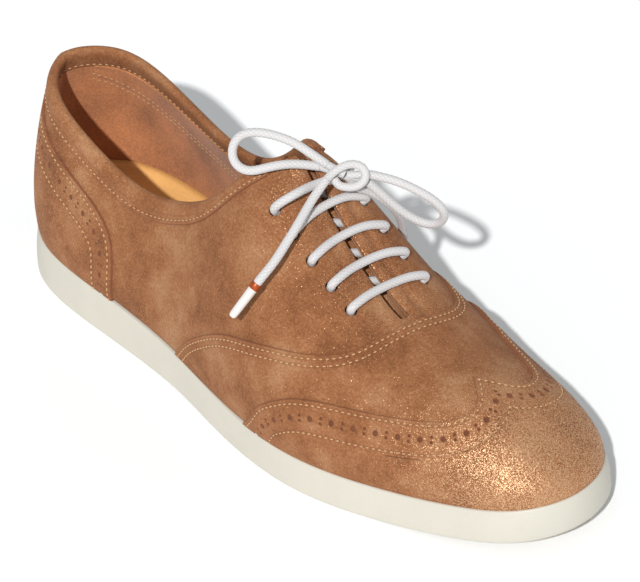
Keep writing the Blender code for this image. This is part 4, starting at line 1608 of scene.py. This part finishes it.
class ShoeOperator:
    """What all of the shoe's operators share."""

    bl_options = {"REGISTER", "UNDO"}


def direction(azimuth, elevation):
    """Unit direction from the object: azimuth 0 is -y and 90 is +x."""
    a, e = math.radians(azimuth), math.radians(elevation)
    return Vector((math.sin(a) * math.cos(e), -math.cos(a) * math.cos(e), math.sin(e)))


def add_floor():
    """A floor far wider than the picture."""
    mesh = bpy.data.meshes.new("floor")
    corners = [(FLOOR_HALF * x, FLOOR_HALF * y, 0) for x, y in ((-1, -1), (1, -1), (1, 1), (-1, 1))]
    mesh.from_pydata(corners, [], [(0, 1, 2, 3)])
    add_object("floor", mesh, floor_material())


def add_light(scene):
    """An even sky, and a key light like a low sun."""
    sky = bpy.data.worlds.new("studio")
    sky.use_nodes = True
    sky.node_tree.nodes["Background"].inputs["Color"].default_value = SKY
    sky.node_tree.nodes["Background"].inputs["Strength"].default_value = SKY_STRENGTH
    scene.world = sky
    key = bpy.data.lights.new("key", "SUN")
    key.energy = KEY_STRENGTH
    key.angle = math.radians(KEY_SPREAD)
    lamp = bpy.data.objects.new("key", key)
    lamp.rotation_euler = direction(KEY_AZIMUTH, KEY_ELEVATION).to_track_quat("Z", "Y").to_euler()
    scene.collection.objects.link(lamp)


def add_camera(scene):
    """The camera, turned about its view by its roll."""
    view = bpy.data.cameras.new("camera")
    view.lens = CAMERA_LENS
    view.sensor_width = CAMERA_SENSOR
    view.sensor_fit = "HORIZONTAL"
    view.shift_x, view.shift_y = CAMERA_SHIFT
    view.clip_start = CAMERA_NEAR
    camera = bpy.data.objects.new("camera", view)
    back = direction(CAMERA_AZIMUTH, CAMERA_ELEVATION)
    right = Vector((0, 0, 1)).cross(back).normalized()
    up = back.cross(right)
    roll = math.radians(CAMERA_ROLL)
    rolled_right = math.cos(roll) * right + math.sin(roll) * up
    rolled_up = math.cos(roll) * up - math.sin(roll) * right
    turn = Matrix((rolled_right, rolled_up, back)).transposed().to_4x4()
    turn.translation = Vector(CAMERA_TARGET) + CAMERA_DISTANCE * back
    camera.matrix_world = turn
    scene.collection.objects.link(camera)
    scene.camera = camera


class SHOE_OT_stage(ShoeOperator, bpy.types.Operator):
    """Adds the floor, the studio light and the camera at the photograph's angle"""

    bl_idname = "shoe.stage"
    bl_label = "Stage"

    def execute(self, context):
        context.scene.view_settings.view_transform = "Standard"
        add_floor()
        add_light(context.scene)
        add_camera(context.scene)
        return {"FINISHED"}


STUB = LACE - 0.2  # diameter of the knot's strands, a little thinner where they join the cords
STUB_OVERLAP = 6
STUB_SHARES = (0.45, 0.95)  # places of a strand on its way to the knot's middle
WRAP = (
    # the lateral end's turn round the knot, from the end itself
    (149.6, 0.6, 86.2),
    (149.3, 3.0, 87.4),
    (149.2, 6.6, 89.0),
    (150.2, 10.2, 90.4),
    (151.8, 13.6, 90.6),
    (154.3, 15.8, 88.9),
    (155.8, 15.2, 86.4),
    (155.4, 12.8, 84.4),
    (153.2, 9.8, 83.8),
    (150.6, 7.6, 84.8),
    (149.0, 7.2, 86.6),
)


def knot_stub(ending):
    """A strand from a cord's last points into the middle of the knot."""
    towards = np.array(KNOT) - ending[0]
    route = [ending[-1], ending[0]] + [ending[0] + share * towards for share in STUB_SHARES]
    return smooth_route(route, LACE_STEP)


TIP_AROUND = 28
TIP_PROFILE = (
    # distance along the tip, radius, material: 0 sleeve, 1 ring
    (-1.2, 1.45, 1),
    (-1.2, 1.74, 1),
    (-0.9, 1.84, 1),
    (0.9, 1.84, 1),
    (1.2, 1.72, 0),
    (1.5, 1.62, 0),
    (6.0, 1.56, 0),
    (11.4, 1.48, 0),
    (12.5, 1.38, 0),
    (13.1, 1.1, 0),
    (13.3, 0.6, 0),
)


def lace_tip(name, line):
    """The sleeve on a lace's end, with a ring at its top."""
    way = unit(line[-1] - line[-2])
    first = unit(np.cross(way, ASIDE))
    other = np.cross(way, first)
    turn = np.linspace(0, 2 * math.pi, TIP_AROUND, endpoint=False)
    spokes = np.cos(turn)[:, None] * first + np.sin(turn)[:, None] * other
    points = np.vstack([line[-1] + (GAP + at) * way + radius * spokes for at, radius, _ in TIP_PROFILE])
    rings = len(TIP_PROFILE)
    mesh = mesh_of(f"lace_tip_{name}", points, ring_faces(rings, TIP_AROUND) + end_faces(rings, TIP_AROUND))
    piece = add_object(f"lace_tip_{name}", mesh, sleeve_material(), ring_material())
    looks = [look for _, _, look in TIP_PROFILE]
    around = np.repeat(looks[:-1], TIP_AROUND).tolist()
    mesh.polygons.foreach_set("material_index", [*around, looks[0], looks[-1]])
    return finish_piece(piece, "aglet", f"aglet_{name}")


class SHOE_OT_bow(ShoeOperator, bpy.types.Operator):
    """Ties the bow: two loops and two ends as free cords, their tips and the knot"""

    bl_idname = "shoe.bow"
    bl_label = "Bow"

    def execute(self, context):
        stubs = []
        for name, route, is_end in (
            ("loop_lateral", LOOP_LATERAL, False),
            ("loop_medial", LOOP_MEDIAL, False),
            ("end_lateral", END_LATERAL, True),
            ("end_medial", END_MEDIAL, True),
        ):
            line = smooth_route(route, LACE_STEP)
            piece = braided_piece(f"bow_{name}", [line])
            finish_piece(piece, "lace", f"lace_{name}")
            tips = [lace_tip(name.split("_")[1], line)] if is_end else []
            if name != "end_lateral":
                stubs.append(knot_stub(line[:STUB_OVERLAP]))
            if not is_end:
                stubs.append(knot_stub(line[: -STUB_OVERLAP - 1 : -1]))
        strands = [*stubs, smooth_route(WRAP, LACE_STEP)]
        finish_piece(braided_piece("bow_knot", strands, STUB), "lace", "lace_knot")
        return {"FINISHED"}


class SHOE_OT_lacing(ShoeOperator, bpy.types.Operator):
    """Laces the throat: bars over it, crossings under it and the leads to the knot"""

    bl_idname = "shoe.lacing"
    bl_label = "Lacing"

    def execute(self, context):
        pairs = range(EYELET_PAIRS - 1)
        lines = [lace_bar(pair) for pair in pairs] + [lace_crossing(pair) for pair in pairs]
        lines += [lace_lead(side) for side in SIDES]
        nodes = [f"lace_bar_{pair + 1}" for pair in pairs]
        nodes += [f"lace_lead_{SIDE_NAMES[side]}" for side in SIDES]
        finish_piece(braided_piece("lacing", lines), "lace", *nodes)
        return {"FINISHED"}


SOLE_COLUMNS = 170  # points on each half of a ring round the sole


def sole_ring(inset, share, rise):
    """One ring round the sole: its lateral side from heel to toe, then its medial side back."""
    along = np.linspace(0, 1, SOLE_COLUMNS + 1)
    halves = []
    for side in SIDES:
        plan = on_outline(side, along, inset)
        height = (1 - share) * sole_bottom(plan[:, 0]) + share * sole_top(plan[:, 0]) + rise
        halves.append(np.column_stack([plan, height]))
    return np.vstack([halves[0], halves[1][-2:0:-1]])


def loft(name, rings, *materials):
    """A closed solid through rings of equal count, capped by cross strips at both ends."""
    count = len(rings[0])
    faces = ring_faces(len(rings), count)
    for start, flip in ((0, True), ((len(rings) - 1) * count, False)):
        for i in range(count // 2):
            strip = [i, i + 1, (count - i - 1) % count, (count - i) % count]
            strip = [start + k for k in dict.fromkeys(strip)]
            faces.append(strip[::-1] if flip else strip)
    return add_object(name, mesh_of(name, np.vstack(rings), faces), *materials)


SOLE_PROFILE = (
    # inset from the floor outline, share of the height, then rise in millimetres
    (6.0, 0.0, 0.0),
    (1.6, 0.0, 0.0),
    (1.2, 0.0, 0.0),
    (0.75, 0.0, 0.1),
    (0.35, 0.0, 0.36),
    (0.1, 0.0, 0.75),
    (0.0, 0.0, 1.2),
    (-0.05, 0.15, 1.0),
    (0.05, 0.35, 0.7),
    (0.3, 0.55, 0.5),
    (0.7, 0.75, 0.2),
    (1.15, 0.92, 0.0),
    (1.35, 1.0, -0.45),
    (1.5, 1.0, -0.15),
    (1.8, 1.0, 0.0),
    (3.0, 1.0, 0.0),
    (8.0, 1.0, 0.0),
)


class SHOE_OT_sole(ShoeOperator, bpy.types.Operator):
    """Moulds the unit sole"""

    bl_idname = "shoe.sole"
    bl_label = "Sole"

    def execute(self, context):
        rings = [sole_ring(*row) for row in SOLE_PROFILE]
        finish_piece(loft("sole_unit", rings, rubber_material()), "sole", "sole")
        return {"FINISHED"}


INSOLE_COLUMNS = 120
INSOLE_ROWS = 25
INSOLE_RIM = (
    # along, level of the sock's edge on the lining
    (0.0, 0.1),
    (0.3, 0.1),
    (0.45, 0.04),
    (1.0, 0.02),
)
INSOLE_ROOM = 0.2  # between the sock's edge and the lining
INSOLE_TOP = 3.0  # height of its middle over the sole
SOCK_THICKNESS = 2.0
CUP_ENDS = 0.08  # along, at heel and toe, over which it turns up
CUP_END_POWER = 3
CUP_SIDE_POWER = 4


class SHOE_OT_insole(ShoeOperator, bpy.types.Operator):
    """Lays the leather insole, cupped up to the lining at its edge"""

    bl_idname = "shoe.insole"
    bl_label = "Insole"

    def execute(self, context):
        along = np.linspace(0, 1, INSOLE_COLUMNS)
        shares = np.linspace(-1, 1, INSOLE_ROWS)
        rim = np.interp(along, column(INSOLE_RIM, 0), column(INSOLE_RIM, 1))
        edges = {side: wall(side, along, rim, -(WALL + INSOLE_ROOM)) for side in SIDES}
        top = np.array([(1 - s) / 2 * edges[LATERAL] + (1 + s) / 2 * edges[MEDIAL] for s in shares])
        middle = sole_top(top[..., 0]) + GAP + INSOLE_TOP
        at_ends = np.clip(1 - np.minimum(along, 1 - along) / CUP_ENDS, 0, 1) ** CUP_END_POWER
        cup = np.maximum(np.abs(shares[:, None]) ** CUP_SIDE_POWER, at_ends)
        top[..., 2] = middle + cup * (top[..., 2] - middle)
        bottom = top - (0, 0, SOCK_THICKNESS)
        finish_piece(shell("insole_sock", [top], [bottom], insole_material()), "insole", "insole")
        return {"FINISHED"}


QUARTER_EDGE = (
    # distance from the opening's edge, offset
    (3.0, 0.0),
    (1.6, 0.0),
    (0.8, 0.0),
    (0.45, -0.03),
    (0.2, -0.12),
    (0.06, -0.28),
    (0.0, -0.5),
)


CLOSE_END = 0.72  # along, up to which the wall's columns lie close
CLOSE_COLUMNS = 170
WIDE_COLUMNS = 26
WALL_ROWS = 46


def wall_columns(landmarks):
    """Along, close columns to the vamp and wider ones on to the toe, with some set on landmarks."""
    close = np.linspace(0, CLOSE_END, CLOSE_COLUMNS)
    along = np.concatenate([close, np.linspace(CLOSE_END, 1, WIDE_COLUMNS)[1:]])
    for landmark in landmarks:
        along[np.argmin(np.abs(along - landmark))] = landmark
    return along


def wall_grid(side, along, offset, rounded):
    """Rows of the upper's wall from the sole's edge to the opening."""
    top = below_opening(side, along, QUARTER_EDGE[0][0])
    levels = [share * top for share in np.linspace(0, 1, WALL_ROWS)[:-1]]
    offsets = [np.full(len(along), offset)] * len(levels)
    for distance, drop in QUARTER_EDGE:
        levels.append(below_opening(side, along, distance))
        offsets.append(offset + np.where(along <= THROAT_END, drop * rounded, 0))
    return wall(side, along, np.array(levels), np.array(offsets))


SUEDE_INSIDE = 1.0  # depths below the wall's outside
LINING_OUTSIDE = 1.05
CORNER_SNAP = 0.003  # along, from the throat's corner to the columns on either side of it
THROAT_SNAP = 0.002  # along, from the throat's end to the next column


class SHOE_OT_quarters(ShoeOperator, bpy.types.Operator):
    """Cuts both quarters as one wall, punches its eyelets, and lines it"""

    bl_idname = "shoe.quarters"
    bl_label = "Quarters and lining"

    def execute(self, context):
        corner = (CORNER - CORNER_SNAP, CORNER + CORNER_SNAP)
        along = wall_columns((*corner, THROAT_END, THROAT_END + THROAT_SNAP))
        cutter = eyelet_cutter()
        for name, outside, inside, rounded, looks in (
            ("quarters", 0.0, -SUEDE_INSIDE, 1.0, (suede_material(), punched_edge_and_shade_material())),
            ("lining", -LINING_OUTSIDE, -WALL, 0.0, (lining_material(), punched_edge_and_shade_material())),
        ):
            outer = [wall_grid(side, along, outside, rounded) for side in SIDES]
            inner = [wall_grid(side, along, inside, 0.0) for side in SIDES]
            piece = punch(shell(name, outer, inner, *looks), cutter)
            finish_piece(piece, "suede", "upper")
        bpy.data.objects.remove(cutter)
        return {"FINISHED"}


STRIP_EDGE = (
    # along, distance of the lining strip's lower edge below the opening's edge
    (0.05, 12.5),
    (0.10, 16.5),
    (0.15, 18.0),
    (0.30, 18.5),
    (0.45, 15.0),
    (0.50, 12.0),
)
STRIP_TOP = 7.2
STRIP_START = 0.05  # along
STRIP_SHORT = 0.014  # along, from its front end to the throat's corner
STRIP_COLUMNS = 110
STRIP_ROWS = 6
STRIP_BACK = 0.15  # how far it reaches into the lining
STRIP_SEAM = 1.3  # from its lower edge up to the stitches in it
STRIP_SEAM_HEIGHT = 0.4
LINING_SEAM = 1.7  # from its lower edge down to the stitches below it
UPRIGHT_SEAM = 0.006  # along, from its back end to the upright stitches
UPRIGHT_POINTS = 12
STRIP_THREAD = 0.7
STRIP_PROFILE = (
    # distance from the strip's lower edge, thickness
    (0.0, 0.05),
    (0.15, 0.3),
    (0.5, 0.42),
    (1.4, 0.42),
)


class SHOE_OT_lining_strip(ShoeOperator, bpy.types.Operator):
    """Sews a strip along the inside of the collar, with stitches in it and below it"""

    bl_idname = "shoe.lining_strip"
    bl_label = "Lining strip"

    def execute(self, context):
        along = np.linspace(STRIP_START, CORNER - STRIP_SHORT, STRIP_COLUMNS)
        edge = spline(column(STRIP_EDGE, 0), column(STRIP_EDGE, 1))(along)
        shares = np.linspace(0, 1, STRIP_ROWS + 1)[1:]
        on_strip = -WALL - STRIP_SEAM_HEIGHT
        rows = []
        for side in SIDES:
            distances = [edge - d for d, _ in STRIP_PROFILE]
            thickness = [t for _, t in STRIP_PROFILE]
            start = distances[-1]
            distances += [start + share * (STRIP_TOP - start) for share in shares]
            thickness += [thickness[-1]] * STRIP_ROWS
            levels = np.array([levels_below(side, along, d) for d in distances])
            faces = wall(side, along, levels, -WALL - np.array(thickness)[:, None])
            backs = wall(side, along, levels, -WALL + STRIP_BACK)
            name = f"lining_strip_{SIDE_NAMES[side]}"
            finish_piece(shell(name, [faces], [backs], lining_material()), "suede", "upper")
            for distance, offset in ((edge - STRIP_SEAM, on_strip), (edge + LINING_SEAM, -WALL)):
                level = levels_below(side, along, distance)
                rows.append((wall(side, along, level, offset), -outward(side, along, level)))
            low = levels_below(side, along[:1], edge[:1])[0]
            high = below_opening(side, along[:1], STRIP_TOP)[0]
            back = np.full(UPRIGHT_POINTS, along[0] + UPRIGHT_SEAM)
            upright = np.stack([back, np.linspace(low, high, UPRIGHT_POINTS)], 1)
            points, normals = on_surface(side, upright, on_strip)
            rows.append((points, -normals))
        sew("lining_stitching", rows, "suede", STRIP_THREAD)
        return {"FINISHED"}


TOE_ROWS = 26


def two_seams(apart):
    """Distances of a panel's two rows of stitches from its cut edge."""
    first = mm(sizes().seam_inset)
    return first, first + mm(apart)


class SHOE_OT_vamp(ShoeOperator, bpy.types.Operator):
    """Sews the vamp over the quarters with two rows of stitches"""

    bl_idname = "shoe.vamp"
    bl_label = "Vamp"

    def execute(self, context):
        edges = {side: edge_line(side, VAMP_EDGE, EDGE_COLUMNS) for side in SIDES}
        targets = {side: toe_target() for side in SIDES}
        seams = two_seams(sizes().seam_spacing)
        piece, rows, _ = sewn_panel("vamp_panel", edges, targets, 0.0, STEP, seams, (0, 1), TOE_ROWS)
        finish_piece(piece, "suede", "upper")
        sew("vamp_stitching", rows, "suede")
        return {"FINISHED"}


class SHOE_OT_wing_cap(ShoeOperator, bpy.types.Operator):
    """Sews the wing cap over the vamp, with brogue holes between two rows of stitches"""

    bl_idname = "shoe.wing_cap"
    bl_label = "Wing cap"

    def execute(self, context):
        edges = {side: edge_line(side, WING_EDGE, EDGE_COLUMNS) for side in SIDES}
        targets = {side: toe_target() for side in SIDES}
        seams = two_seams(sizes().brogue_width)
        height = CAP_LIFT + OVERLAY - STEP
        piece, rows, bands = sewn_panel(
            "wing_cap_panel", edges, targets, STEP, height, seams, (0, 1), TOE_ROWS
        )
        brogue(piece, [joined(bands)])
        finish_piece(piece, "suede", "wing_cap")
        sew("wing_cap_stitching", rows, "suede")
        return {"FINISHED"}


COUNTER_ROWS = 16
STAY_SEAM = 0.006  # along, from the stay's edge to its stitches
STAY_SEAM_LOW = 0.02  # up, where they start over the sole
STAY_SEAM_SHORT = 0.01  # up, from their end to the stay's
STAY_SEAM_POINTS = 60


def before_stay(row):
    """The part of a row that lies before the back stay."""
    points, normals = row
    kept = points[:, 0] > STAY_REACH
    return points[kept], normals[kept]


class SHOE_OT_counter(ShoeOperator, bpy.types.Operator):
    """Sews the heel counter and its back stay, with brogue holes along the counter's edge"""

    bl_idname = "shoe.counter"
    bl_label = "Heel counter"

    def execute(self, context):
        edges = {side: counter_line(side, EDGE_COLUMNS) for side in SIDES}
        top = below_opening(LATERAL, 0.0, BAND_WIDTH - BAND_TUCK)[0]
        back = np.stack([np.zeros(EDGE_COLUMNS), np.linspace(0, top, EDGE_COLUMNS)], 1)
        targets = {side: back for side in SIDES}
        seams = two_seams(sizes().brogue_width)
        height = OVERLAY_GAP + OVERLAY
        piece, rows, bands = sewn_panel(
            "counter_panel", edges, targets, 0.0, height, seams, (0, None), COUNTER_ROWS
        )
        brogue(piece, [before_stay(row) for row in bands])
        finish_piece(piece, "suede", "heel_counter")
        rows = [before_stay(row) for row in rows]
        levels = np.linspace(STAY_SEAM_LOW, top - STAY_SEAM_SHORT, STAY_SEAM_POINTS)
        stay = np.stack([np.full(STAY_SEAM_POINTS, STAY_EDGE - STAY_SEAM), levels], 1)
        rows += [on_surface(side, stay, height) for side in SIDES]
        sew("counter_stitching", rows, "suede")
        return {"FINISHED"}


COLLAR_PROFILE = (
    # distance below the opening's edge, offset, painted shade at the band's edges, fold and seams: up the
    # outside, over the top, down the inside
    (8.0, 0.3, 1.0),
    (7.94, 0.75, 1.0),
    (7.75, 1.02, 0.7),
    (7.35, 1.15, 0.1),
    (6.9, 1.12, 0.1),
    (6.4, 0.9, 0.8),
    (5.9, 1.15, 0.1),
    (5.1, 1.25, 0.0),
    (4.6, 1.2, 0.5),
    (4.1, 1.35, 0.0),
    (3.0, 1.55, 0.0),
    (1.6, 1.55, 0.0),
    (0.3, 1.25, 0.0),
    (-0.5, 0.75, 0.0),
    (-0.95, 0.1, 0.0),
    (-1.1, -0.5, 0.0),
    (-1.0, -1.1, 0.0),
    (-0.55, -1.75, 0.0),
    (0.3, -2.15, 0.0),
    (1.6, -2.35, 0.0),
    (3.2, -2.3, 0.0),
    (5.4, -2.2, 0.0),
    (5.9, -2.15, 0.1),
    (6.4, -1.98, 0.7),
    (6.9, -2.15, 0.1),
    (7.3, -2.1, 0.4),
    (7.5, -1.8, 1.0),
)


COLLAR_SHORT = 0.004  # along, from the collar's front end to the throat's corner
COLLAR_COLUMNS = 150
COLLAR_SEAM = 6.4  # from the opening's edge down to the stitches
COLLAR_SEAMS = (
    # offset of the stitches, and 1 outside or -1 inside
    (1.05, 1),
    (-2.08, -1),
)
COLLAR_THREAD = 0.85


def collar_ring(side, along, distance, offset):
    """A line along the collar at a distance below its edge, or above it where that is negative."""
    level = below_opening(side, along, max(distance, 0.0))
    line = wall(side, along, level, offset)
    if distance < 0:
        _, climb = slopes(side, along, level)
        climb = unit(climb)
        at_heel = ease(1 - along / HEEL_BLEND)[:, None]
        climb = unit(climb * (1 - at_heel * (0, 1, 0)))
        line = line - distance * climb
    return line


class SHOE_OT_collar(ShoeOperator, bpy.types.Operator):
    """Rolls the collar band over the topline and sews it inside and out"""

    bl_idname = "shoe.collar"
    bl_label = "Collar"

    def execute(self, context):
        along = np.linspace(0, CORNER - COLLAR_SHORT, COLLAR_COLUMNS)
        grids = []
        for side in SIDES:
            grids.append(np.array([collar_ring(side, along, d, o) for d, o, _ in COLLAR_PROFILE]))
        heel = (grids[0][:, 0] + grids[1][:, 0]) / 2
        ring = np.concatenate([grids[0][:, :0:-1], heel[:, None], grids[1][:, 1:]], 1).transpose(1, 0, 2)
        count = len(COLLAR_PROFILE)
        faces = ring_faces(len(ring), count) + end_faces(len(ring), count)
        points = ring.reshape(-1, 3)
        shade = np.tile(column(COLLAR_PROFILE, 2), len(ring))
        mesh = mesh_of("collar_roll", points, faces, dust=gold_dust(points), shade=shade)
        finish_piece(add_object("collar_roll", mesh, suede_material()), "suede", "collar_band")
        rows = []
        for side in SIDES:
            level = below_opening(side, along, COLLAR_SEAM)
            for offset, way in COLLAR_SEAMS:
                rows.append((wall(side, along, level, offset), way * outward(side, along, level)))
        sew("collar_stitching", rows, "suede", COLLAR_THREAD)
        return {"FINISHED"}


TONGUE_ROWS = 61
TONGUE_COLUMNS = 13


def tongue_grid(side, depth):
    """Rows from the front end to the tip, each from the ridge to the tongue's edge."""
    front = TONGUE_WIDTHS[0][0]
    tip = TONGUE_WIDTHS[-1][0]
    widths = spline(column(TONGUE_WIDTHS, 0)[::-1], column(TONGUE_WIDTHS, 1)[::-1])
    rows = []
    for x in np.linspace(front, tip, TONGUE_ROWS):
        bend = max(x, TONGUE_BEND)
        along = ridge_along(bend)
        reach = widths(x) * np.linspace(0, 1, TONGUE_COLUMNS)
        ups = level_at(side, along, reach)
        ups[0] = 1
        room = np.interp(bend, (TONGUE_GAP_START, front), (TONGUE_GAP, TONGUE_GAP_FRONT))
        line = wall(side, along, ups, -(WALL + room + depth))
        line[0, 1] = RIDGE_Y(bend)
        past = x - bend
        rows.append(line + np.array([past, 0, TONGUE_SLOPE * past]))
    return np.array(rows)


class SHOE_OT_tongue(ShoeOperator, bpy.types.Operator):
    """Lays the tongue under the throat"""

    bl_idname = "shoe.tongue"
    bl_label = "Tongue"

    def execute(self, context):
        outer = [tongue_grid(side, 0.0) for side in SIDES]
        inner = [tongue_grid(side, TONGUE_THICKNESS) for side in SIDES]
        finish_piece(shell("tongue_flap", outer, inner, suede_material()), "suede", "tongue")
        return {"FINISHED"}


STEPS = (
    SHOE_OT_stage,
    SHOE_OT_lacing,
    SHOE_OT_bow,
    SHOE_OT_sole,
    SHOE_OT_insole,
    SHOE_OT_quarters,
    SHOE_OT_lining_strip,
    SHOE_OT_vamp,
    SHOE_OT_wing_cap,
    SHOE_OT_counter,
    SHOE_OT_collar,
    SHOE_OT_tongue,
)


class SHOE_PT_panel(bpy.types.Panel):
    """Lists the shoe's sizes, colours and pieces"""

    bl_idname = "SHOE_PT_panel"
    bl_label = "Swing dance shoe"
    bl_space_type = "VIEW_3D"
    bl_region_type = "UI"
    bl_category = "Shoe"

    def draw(self, context):
        for group in (context.scene.shoe_sizes, context.scene.shoe_colours):
            box = self.layout.box()
            for name in group.__annotations__:
                box.prop(group, name)
        for step in STEPS:
            self.layout.operator(step.bl_idname)


CLASSES = (ShoeSizes, ShoeColours, *STEPS, SHOE_PT_panel)


def register():
    for kind in CLASSES:
        bpy.utils.register_class(kind)
    bpy.types.Scene.shoe_sizes = PointerProperty(type=ShoeSizes)
    bpy.types.Scene.shoe_colours = PointerProperty(type=ShoeColours)


def unregister():
    del bpy.types.Scene.shoe_colours
    del bpy.types.Scene.shoe_sizes
    for kind in reversed(CLASSES):
        bpy.utils.unregister_class(kind)


def main():
    register()
    for step in STEPS:
        group, name = step.bl_idname.split(".")
        getattr(getattr(bpy.ops, group), name)()


if __name__ == "__main__":
    main()
